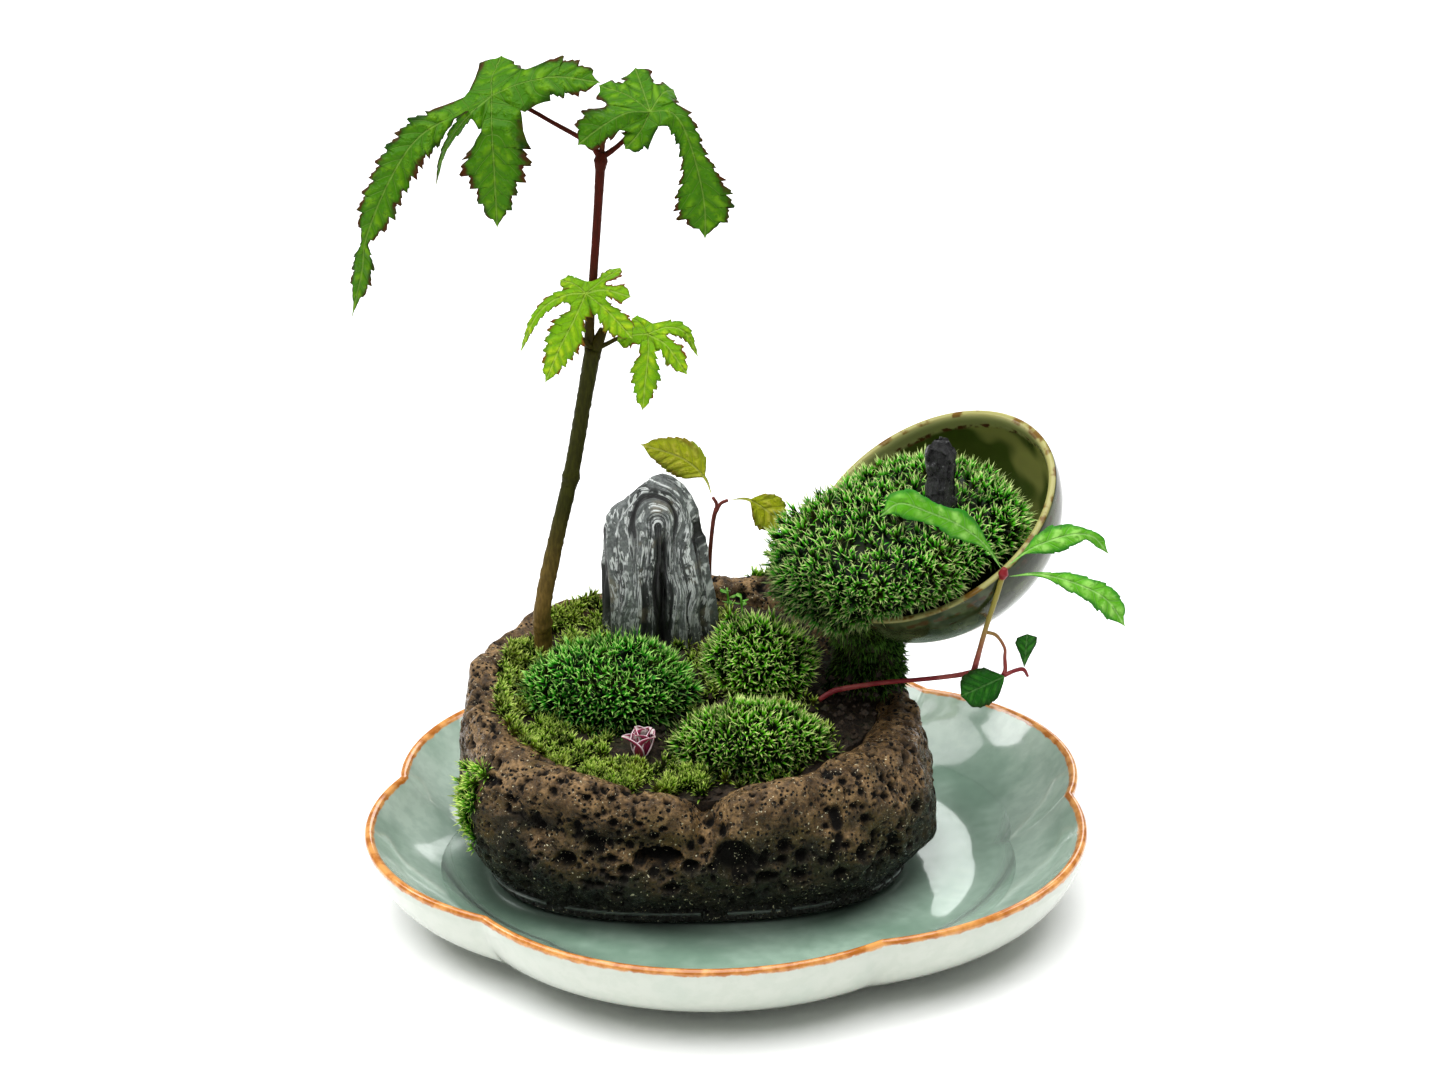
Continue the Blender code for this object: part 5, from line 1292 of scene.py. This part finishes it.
def leaf_sheet(centre, lobes, webs, teeth, tooth_depth, cells=5, closed=False):
    """Points, faces and "leaf" values of one blade: lobes as (rib, face, half widths).

    Neighbouring lobes share the straight line from the leaf's centre to the notch between them,
    which lies a little beyond the middle between the ends of their webs.
    """
    centre = Vector(centre)
    paths = [[centre, *rib] for rib, _, _ in lobes]
    lengths = [arc_length(path) for path in paths]
    shares = [min(0.7, web / length) for web, length in zip(webs, lengths)]
    ends = [through(path, share) - centre for path, share in zip(paths, shares)]
    notches = [None] + [centre + WEB_DEPTH * (a + b) for a, b in zip(ends, ends[1:])] + [None]
    if closed:
        notches[0] = notches[-1] = centre + WEB_DEPTH * (ends[-1] + ends[0])
    ribs = [[through(path, i / 16) for i in range(3, 17)] for path in paths]
    verts = []
    faces = []
    values = []
    for k, (_, face, widths) in enumerate(lobes):
        length = lengths[k]
        low = shares[k]
        start = low * 1.15
        rows = max(16, int(length / LEAF_ROW))
        first = len(verts)
        for i in range(rows + 1):
            share = i / rows
            spot, ahead, side, up = rib_frame(paths[k], share, face)
            wide = between(widths, (share - start) / (1 - start))
            if share < start:
                wide = widths[0] * (share / start)
            wide *= min(1.0, (1.0 - share) * 9.0 + 0.02)
            reaches = [wide, wide]
            if len(lobes) > 1 and share > low:
                pair = ((k - 1) % len(lobes), (k + 1) % len(lobes))
                reaches = [lobe_reach(spot, wide, lobes[beside], ribs[beside]) for beside in pair]
            for j in range(-cells, cells + 1):
                across = j / cells
                reach = reaches[j > 0]
                phase, bite = tooth(share * length / teeth + (0.5 if j > 0 else 0.0), tooth_depth)
                bite = 1.0 + (bite - 1.0) * abs(across) ** 2.5 * float(share > low)
                margin = spot + side * reach * bite * math.copysign(1.0, across)
                margin += ahead * (0.5 * tooth_depth * reach * phase * float(share > low))
                shared = notches[k + 1] if across > 0 else notches[k]
                if shared and share < start:
                    inner = centre.lerp(shared, min(share / low, 1.0))
                    margin = inner.lerp(margin, float(smooth_step(low, start, share)))
                half = (margin - spot).length
                ripple = 0.08 * half * math.sin(share * length / 2.2 + 2 * across) * abs(across)
                crease = -0.06 * half * math.exp(-(across * 5) ** 2)
                droop = 0.12 * half * across * across
                bend = (ripple + crease - droop) * float(smooth_step(0.0, low, share))
                if shared and share < low:
                    bend *= 1 - abs(across)
                verts.append(spot.lerp(margin, abs(across)) + up * bend)
                shown = across * float(smooth_step(low * 0.6, start, share)) if shared else across
                values.append((share * length, shown, abs(across) * half))
        faces += grid_faces(rows + 1, 2 * cells + 1, wrap=False, first=first)
    return verts, faces, values


def leaf(name, paint, slot, centre, lobes, webs=(6.0,), teeth=3.0, tooth_depth=0.34, closed=False):
    verts, faces, values = leaf_sheet(centre, lobes, webs, teeth, tooth_depth, closed=closed)
    thicken(place(name + "_veined", verts, faces, paint, (name,), slot, leaf=values), LEAF_THICKNESS)


def make_maple_leaves():
    green = leaf_paint("maple_leaf", (0.060, 0.215, 0.004), (0.155, 0.36, 0.008), (0.010, 0.045, 0.003),
                       (0.085, 0.022, 0.006), 0.95, (0.30, 0.48, 0.08), spacing=5.0)
    young = leaf_paint("young_maple_leaf", (0.23, 0.52, 0.008), (0.50, 0.72, 0.02),
                       (0.10, 0.30, 0.006), (0.24, 0.05, 0.010), 0.95, (0.60, 0.78, 0.14), spacing=3.6)
    leaf("maple_leaf_left", green, "maple_leaf", (-64.4, 20.6, 241.65), (
        (((-55, 19, 246), (-45, 17, 248), (-33, 15, 246.5)), (0, -0.75, 0.66),
         (6.8, 6.6, 5.8, 4.8, 3.4, 0.8)),
        (((-64.5, 27, 245.5), (-62, 36, 249)), (-0.3, -0.55, 0.8), (6.5, 5.0, 3.0, 1.0)),
        (((-75, 18, 237), (-86, 15, 231), (-94.5, 13, 219), (-101.5, 12, 203), (-103.5, 12.6, 192),
          (-107, 14, 178)), (-0.35, -0.85, 0.4),
         (5.0, 6.4, 6.6, 6.6, 6.4, 6.2, 4.8, 1.2, 3.6, 3.6, 2.0, 0.7)),
        (((-72.5, 12.5, 236.5), (-78, 8, 229), (-80.5, 6.5, 220)), (0.93, -0.3, 0.2),
         (1.6, 2.4, 2.0, 1.2, 0.6)),
        (((-64.4, 13, 234), (-64, 9, 222), (-63.6, 8, 206)), (-0.15, -0.97, 0.25),
         (10.8, 10.4, 9.0, 6.8, 5.2, 3.4, 0.9))), webs=(16.0, 13.0, 15.0, 8.0, 14.0), teeth=4.6, closed=True)
    leaf("maple_leaf_right", green, "maple_leaf", (-19.2, 22.3, 235.5), (
        (((-13.5, 22, 235.4), (-10, 21, 231.5), (-7.2, 19, 224), (-5, 17, 215), (-4, 16, 207),
          (-4.2, 16, 199)), (0.1, -0.97, 0.2),
         (4.0, 3.8, 3.6, 4.2, 5.6, 7.4, 8.8, 8.2, 5.0, 1.0)),
        (((-15.5, 29, 239), (-12.5, 34, 238.5)), (0.2, -0.6, 0.8), (4.6, 3.8, 2.4, 0.9)),
        (((-21.5, 31, 240), (-23.5, 40, 243.5)), (-0.1, -0.6, 0.8), (5.4, 4.4, 2.8, 0.9)),
        (((-26, 28, 239), (-34, 33, 240.5)), (0.2, -0.6, 0.77), (5.4, 4.4, 2.8, 0.9)),
        (((-26, 16.5, 237), (-33.5, 12.5, 234), (-40, 10, 229.6)), (0.1, -0.85, 0.5),
         (7.0, 6.6, 5.4, 3.6, 0.9)),
        (((-22, 17, 231.4), (-26.5, 13.6, 227)), (0.1, -0.9, 0.3), (4.6, 4.2, 2.8, 0.9))),
         webs=(8.0, 10.0, 14.0, 13.5, 15.0, 8.0), teeth=3.8, closed=True)
    leaf("maple_leaf_low_left", young, "young_maple_leaf", (-39.05, 15.2, 183.3), (
        (((-33.5, 12, 179.5), (-29.3, 9.6, 175.6), (-25.8, 8, 171.6)), (0.2, -0.85, 0.5),
         (4.4, 5.2, 4.6, 3.0, 0.8)),
        (((-33.5, 14, 184.6), (-26, 12, 183)), (0.1, -0.8, 0.6), (4.0, 4.6, 3.8, 2.4, 0.7)),
        (((-34, 17.5, 186.6), (-29, 25, 187.6)), (-0.2, -0.5, 0.85), (1.8, 3.0, 3.0, 2.0, 0.7)),
        (((-42.4, 17.4, 185.4), (-46.6, 21.4, 185.4)), (-0.2, -0.6, 0.78), (2.2, 2.8, 2.2, 0.7)),
        (((-44.5, 13.6, 183.5), (-50.5, 12, 181), (-54.8, 12, 175.5), (-58.5, 13, 166.5)),
         (-0.5, -0.8, 0.3), (2.0, 2.2, 1.8, 1.4, 0.8, 0.5)),
        (((-42.5, 10.5, 177), (-47, 8.2, 169), (-51.4, 8, 158.6)), (-0.15, -0.95, 0.3),
         (5.4, 6.0, 5.6, 4.2, 2.8, 0.8))), webs=(5.9, 5.9, 5.7, 4.5, 5.9, 5.9))
    leaf("maple_leaf_low_right", young, "young_maple_leaf", (-21.45, 16.7, 169.9), (
        (((-16, 13.2, 167.4), (-10.2, 12, 158.8)), (0.2, -0.95, 0.3), (3.6, 4.2, 3.4, 2.0, 0.6)),
        (((-16, 17.4, 171.6), (-10.6, 19, 169.4), (-7, 20, 161.5)), (0.1, -0.8, 0.6),
         (2.4, 2.6, 1.8, 0.8, 0.5)),
        (((-23.5, 19.4, 172.4), (-26, 21, 173.2)), (0, -0.6, 0.8), (2.0, 2.4, 1.8, 0.6)),
        (((-25.5, 13.4, 170.8), (-30.4, 12, 169.6)), (0, -0.85, 0.5), (2.6, 3.6, 3.0, 0.8)),
        (((-21.4, 12.2, 165), (-22.4, 10.2, 157.6), (-23.4, 10, 148.6)), (0, -0.97, 0.25),
         (4.2, 4.8, 4.4, 3.4, 2.2, 0.7))), webs=(5.4,) * 5)


def make_small_leaves():
    seedling = leaf_paint("seedling_leaf", (0.46, 0.52, 0.016), (0.68, 0.66, 0.08),
                          (0.26, 0.34, 0.02), (0.28, 0.14, 0.02), 0.6, (0.66, 0.66, 0.20), spacing=3.4)
    sprig = leaf_paint("sprig_leaf", (0.12, 0.46, 0.015), (0.36, 0.74, 0.14), (0.03, 0.28, 0.02),
                       (0.05, 0.18, 0.02), 0.5, (0.50, 0.82, 0.28), spacing=5.6)
    deep = leaf_paint("sprig_leaf_dark", (0.014, 0.12, 0.008), (0.05, 0.24, 0.02),
                      (0.006, 0.05, 0.005), (0.03, 0.05, 0.01), 0.5, (0.16, 0.36, 0.10), spacing=2.6)
    leaf("seedling_leaf_left", seedling, "seedling_leaf", (-3.65, 37, 110.55), (
        (((-6, 40.5, 115.8), (-13, 43, 121.2), (-25, 44.4, 125.2)), (-0.2, -0.9, 0.4),
         (0.5, 4.6, 6.0, 5.8, 4.6, 2.8, 0.6)),), teeth=2.2, tooth_depth=0.10)
    leaf("seedling_leaf_right", seedling, "seedling_leaf", (1.2, 36, 109.9), (
        (((7, 36.4, 109.8), (13, 37, 105.6), (18, 37.4, 99.8)), (0.2, -0.9, 0.4),
         (0.5, 4.0, 5.8, 5.8, 3.8, 0.8)),), teeth=2.2, tooth_depth=0.10)
    leaf("sprig_leaf_left", sprig, "sprig_leaf", (80.3, -9.8, 104.7), (
        (((75.3, -13, 113.6), (67.8, -16, 121), (59, -18, 126), (50.5, -18, 129),
          (44.6, -17, 124.6)), (-0.2, -0.9, 0.4), (0.5, 1.4, 3.4, 4.6, 3.2, 3.4, 4.6, 3.4, 0.8)),),
         teeth=5.0, tooth_depth=0.10)
    leaf("sprig_leaf_right_high", sprig, "sprig_leaf", (82.0, -8.8, 104.95), (
        (((89.5, -5, 109), (100, -2, 111.6), (107.4, -1, 110.8), (112.4, -1, 105)),
         (-0.2, -0.8, 0.55), (0.5, 3.0, 4.4, 3.6, 1.6, 1.8, 0.7)),), teeth=5.0, tooth_depth=0.12)
    leaf("sprig_leaf_right_low", sprig, "sprig_leaf", (82.6, -9.65, 102.2), (
        (((91.3, -12, 103.6), (102, -15, 101.6), (110.6, -16.6, 97), (116, -17, 88.6)),
         (0.1, -0.8, 0.6), (0.5, 1.2, 3.0, 3.4, 4.2, 3.6, 0.8)),), teeth=5.0, tooth_depth=0.16)
    leaf("sprig_leaf_round", deep, "sprig_leaf", (81.45, -8.5, 69.8), (
        (((76, -11, 68.4), (68.4, -13, 65.8)), (0.1, -0.85, 0.5), (1.6, 5.0, 5.8, 5.4, 3.0)),),
         webs=(1.0,), teeth=2.4, tooth_depth=0.07)
    leaf("sprig_leaf_small", deep, "sprig_leaf", (87.4, -6.05, 71.65), (
        (((87.9, -6, 77), (88.3, -6, 82.2)), (0.3, -0.9, 0.2), (0.5, 1.8, 3.4, 3.0)),),
         webs=(1.0,), teeth=2.4, tooth_depth=0.07)
    return sprig


def curled(base, out, rise, wide):
    """One leaf rolled in at its margins: points, faces and the way from its middle."""
    rows = 16
    cells = 6
    curl = 0.55
    base = Vector(base)
    across = Vector(out).cross(UP).normalized()
    verts = []
    side = []
    for i in range(rows + 1):
        s = i / rows
        spot = base + Vector(out) * (s * 0.8 + 0.5 * s * s) + Vector(rise) * (s - 0.35 * s ** 3)
        half = wide * math.sin(math.pi * min(0.15 + 0.83 * s, 1.0)) ** 0.8
        for j in range(-cells, cells + 1):
            t = j / cells
            roll = curl * math.pi * t
            verts.append(spot + across * half * math.sin(roll) / max(curl * 2.2, 0.1)
                         - Vector(out).normalized() * half * 0.45 * (1 - math.cos(roll)))
            side.append(abs(t))
    return verts, grid_faces(rows + 1, 2 * cells + 1, wrap=False), side


def make_sprout():
    """Curled leaves round a heart, the inner ones upright and the outer ones spread."""
    root = Vector((*SPROUT_PLACE, soil_level(SPROUT_PLACE[1]) + 0.4))
    verts = []
    faces = []
    side = []
    for i in range(8):
        out = outward(GOLDEN_TURN * i + 0.9) * (4.4 * (1 - i / 10))
        rise = Vector((0.16 * i, 0, 9.0 + 0.7 * i))
        more, sides, edge = curled(root + out * 0.15, out, rise, 4.4 - 0.2 * i)
        add_part(verts, faces, more, sides)
        side += edge
    obj = place("pink_sprout_curled", verts, faces, sprout_paint(), ("pink_sprout",),
                "variegated_leaf", side=side)
    thicken(obj, SPROUT_THICKNESS)


def tiny_sprouts(paint):
    """Two small shoots that stand behind the back cushion."""
    rng = random.Random(3)
    verts = []
    faces = []
    values = []
    for foot, top in (((1.5, 33.5, 69.5), (0.2, 33.0, 82.5)), ((5.0, 35.0, 69.5), (4.4, 34.4, 79.0))):
        stem, sides = tube((foot, top), (0.4, 0.3), 8, 8)
        add_part(verts, faces, stem, sides)
        values += [(0, 0, 1)] * len(stem)
        for i in range(5):
            way = outward(2.4 * i + foot[0], 0.35) * rng.uniform(2.2, 3.2)
            start = Vector(foot).lerp(Vector(top), 0.55 + 0.1 * i)
            lobe = ((start + way * 0.5, start + way), (0, 0, 1), (0.3, 0.9, 1.0, 0.3))
            more, sides, more_values = leaf_sheet(start, (lobe,), (0.5,), 9.0, 0.0, cells=2)
            add_part(verts, faces, more, sides)
            values += more_values
    place("sprouts_tiny", verts, faces, paint, (), "sprig_leaf", leaf=values)


# Cup and its soil

def make_cup():
    steps = 160
    outer = curve_points(CUP_OUTSIDE, 34)
    foot = [(12.0, CUP_BASE), (15.0, CUP_BASE), (15.8, -31.3), (16.4, -31.6), (18.0, -31.6),
            (18.6, -31.2), (19.2, -28.6)]
    lip = [(41.1, -0.5), (40.7, -0.1), (40.1, 0.08), (39.5, 0.05), (39.0, -0.25)]
    inner = curve_points(CUP_INSIDE, 34) + [(9.0, CUP_FLOOR)]
    profile = foot + outer + lip + inner
    turn = cup_frame()
    verts = [turn @ Vector((radius * math.cos(angle), radius * math.sin(angle), height))
             for radius, height in profile for angle in turns(steps)]
    verts += [turn @ Vector((0, 0, CUP_BASE)), turn @ Vector((0, 0, CUP_FLOOR))]
    rows = len(profile)
    edge = len(foot) + len(outer) + 2
    inside = np.append(np.repeat(np.arange(rows) > edge, steps), (0, 1)).astype(float)
    depth = np.append(np.repeat(-np.array(profile)[:, 1], steps), (-CUP_BASE, -CUP_FLOOR))
    place("tea_cup_glazed", verts, closed_faces(rows, steps), cup_paint(), ("tea_cup",), "cup_glaze",
          inside=inside, depth=depth)


def cup_fill():
    """Points and faces of the soil in the cup, level where it reaches the wall."""
    turn = cup_frame()
    slope = Vector(CUP_SOIL_UP).normalized()
    level = Vector(CUP_SOIL_LEVEL)
    middle = Vector(CUP_MOUTH)
    middle -= slope * (middle - level).dot(slope)
    steps = 48
    columns = []
    for angle in turns(steps):
        wall = [turn @ Vector(((radius - 0.8) * math.cos(angle), (radius - 0.8) * math.sin(angle),
                               height + 0.5)) for radius, height in curve_points(CUP_INSIDE, 14)]
        over = [(spot - level).dot(slope) for spot in wall]
        top = next((k for k, rise in enumerate(over) if rise <= 0), len(over) - 1)
        if top:
            edge = wall[top - 1].lerp(wall[top], over[top - 1] / (over[top - 1] - over[top]))
            wall[:top] = [middle.lerp(edge, 0.4 + 0.6 * (k + 1) / top) for k in range(top)]
        columns.append(wall)
    fill = [column[k] for k in range(len(columns[0])) for column in columns]
    ends = [middle, turn @ Vector((0, 0, CUP_FLOOR + 0.5))]
    sides = grid_faces(len(columns[0]), steps) + fan(0, steps, len(fill))
    sides += fan(len(fill) - steps, steps, len(fill) + 1)
    return fill + ends, sides


def make_cup_soil():
    """The root ball below the cup's lip, with rootlets, and the soil under the moss."""
    rng = random.Random(8)
    verts, faces = tube(ROOT_PATH, ROOT_RADII, 60, 60, wobble=0.1)
    verts = np.array(verts)
    normals = normals_of(verts, faces)
    verts = verts + normals * (2.4 * rough(verts, 7.0, 4.0) + 1.0 * rough(verts, 2.4, 8.0))[:, None]
    parts = [(verts.tolist(), faces), cup_fill()]
    for _ in range(ROOTLETS):
        share = rng.uniform(0.15, 0.95)
        start = through(ROOT_PATH, share)
        angle = rng.uniform(0, 2 * math.pi)
        reach = between(ROOT_RADII, share)
        out = outward(angle)
        spot = start + out * (reach - 0.5)
        drop = rng.uniform(3, 9)
        bend = out * rng.uniform(0.2, 1.8) + Vector((rng.uniform(-1, 1), rng.uniform(-1, 1), 0))
        path = (spot, spot + bend + Vector((0, 0, -0.4 * drop)),
                spot + 0.7 * bend + Vector((0, 0, -drop)))
        parts.append(tube(path, (0.3, 0.22, 0.12), 8, 6))
    place("cup_soil_rooty", *joined(parts), soil_paint("cup_soil"), ("cup_soil",), "soil")


# Light and camera

def area_light(name, spot, target, size, power):
    lamp = bpy.data.lights.new(name, "AREA")
    lamp.shape = "RECTANGLE"
    lamp.size, lamp.size_y = size
    lamp.energy = power
    obj = stand(name, lamp)
    obj.location = spot
    obj.rotation_euler = (Vector(target) - Vector(spot)).to_track_quat("-Z", "Y").to_euler()


def make_studio():
    mesh = bpy.data.meshes.new("floor")
    far = FLOOR_HALF
    mesh.from_pydata([(-far, -far, 0), (far, -far, 0), (far, far, 0), (-far, far, 0)], [], [(0, 1, 2, 3)])
    p = Paint("floor", 0.8, Specular_IOR_Level=0.0)
    p.colour((0.97, 0.97, 0.97))
    mesh.materials.append(p.material)
    stand("floor", mesh)
    world = bpy.data.worlds.new("studio")
    world.use_nodes = True
    sky = world.node_tree.nodes["Background"].inputs
    sky["Color"].default_value = (1.0, 1.0, 1.0, 1.0)
    sky["Strength"].default_value = WORLD_POWER
    bpy.context.scene.world = world
    sun = bpy.data.lights.new("sky", "SUN")
    sun.energy = SKY_POWER
    sun.angle = math.radians(SKY_SPREAD)
    stand("sky", sun).rotation_euler = [math.radians(turn) for turn in SKY_TURN]
    for name, window in WINDOWS.items():
        area_light(name, *window)


def make_camera():
    scene = bpy.context.scene
    data = bpy.data.cameras.new("camera")
    data.sensor_width = CAMERA_SENSOR
    data.sensor_fit = "HORIZONTAL"
    data.lens = CAMERA_LENS
    data.clip_end = CAMERA_REACH
    camera = stand("camera", data)
    camera.location = framed(CAMERA_PLACE)
    turn = Matrix.Rotation(math.radians(90 - CAMERA_DOWN), 3, "X")
    camera.rotation_euler = (turn @ Matrix.Rotation(math.radians(CAMERA_ROLL), 3, "Z")).to_euler()
    scene.camera = camera
    scene.view_settings.view_transform = "Standard"


def main():
    make_camera()
    make_studio()
    make_plate()
    make_water()
    make_rock()
    make_soil()
    make_ridge_stone()
    make_dark_stone()
    make_cup()
    make_cup_soil()
    make_maple_stem()
    make_sprig_stem()
    make_seedling_stem()
    make_maple_leaves()
    sprig = make_small_leaves()
    make_sprout()
    tiny_sprouts(sprig)
    make_moss()


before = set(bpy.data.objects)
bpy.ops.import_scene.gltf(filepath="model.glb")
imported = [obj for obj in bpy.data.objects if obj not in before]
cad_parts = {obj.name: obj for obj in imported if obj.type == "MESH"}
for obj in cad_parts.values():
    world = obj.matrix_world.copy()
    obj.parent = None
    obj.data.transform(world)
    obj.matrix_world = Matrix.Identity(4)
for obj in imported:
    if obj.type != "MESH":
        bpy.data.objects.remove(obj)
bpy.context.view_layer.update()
main()
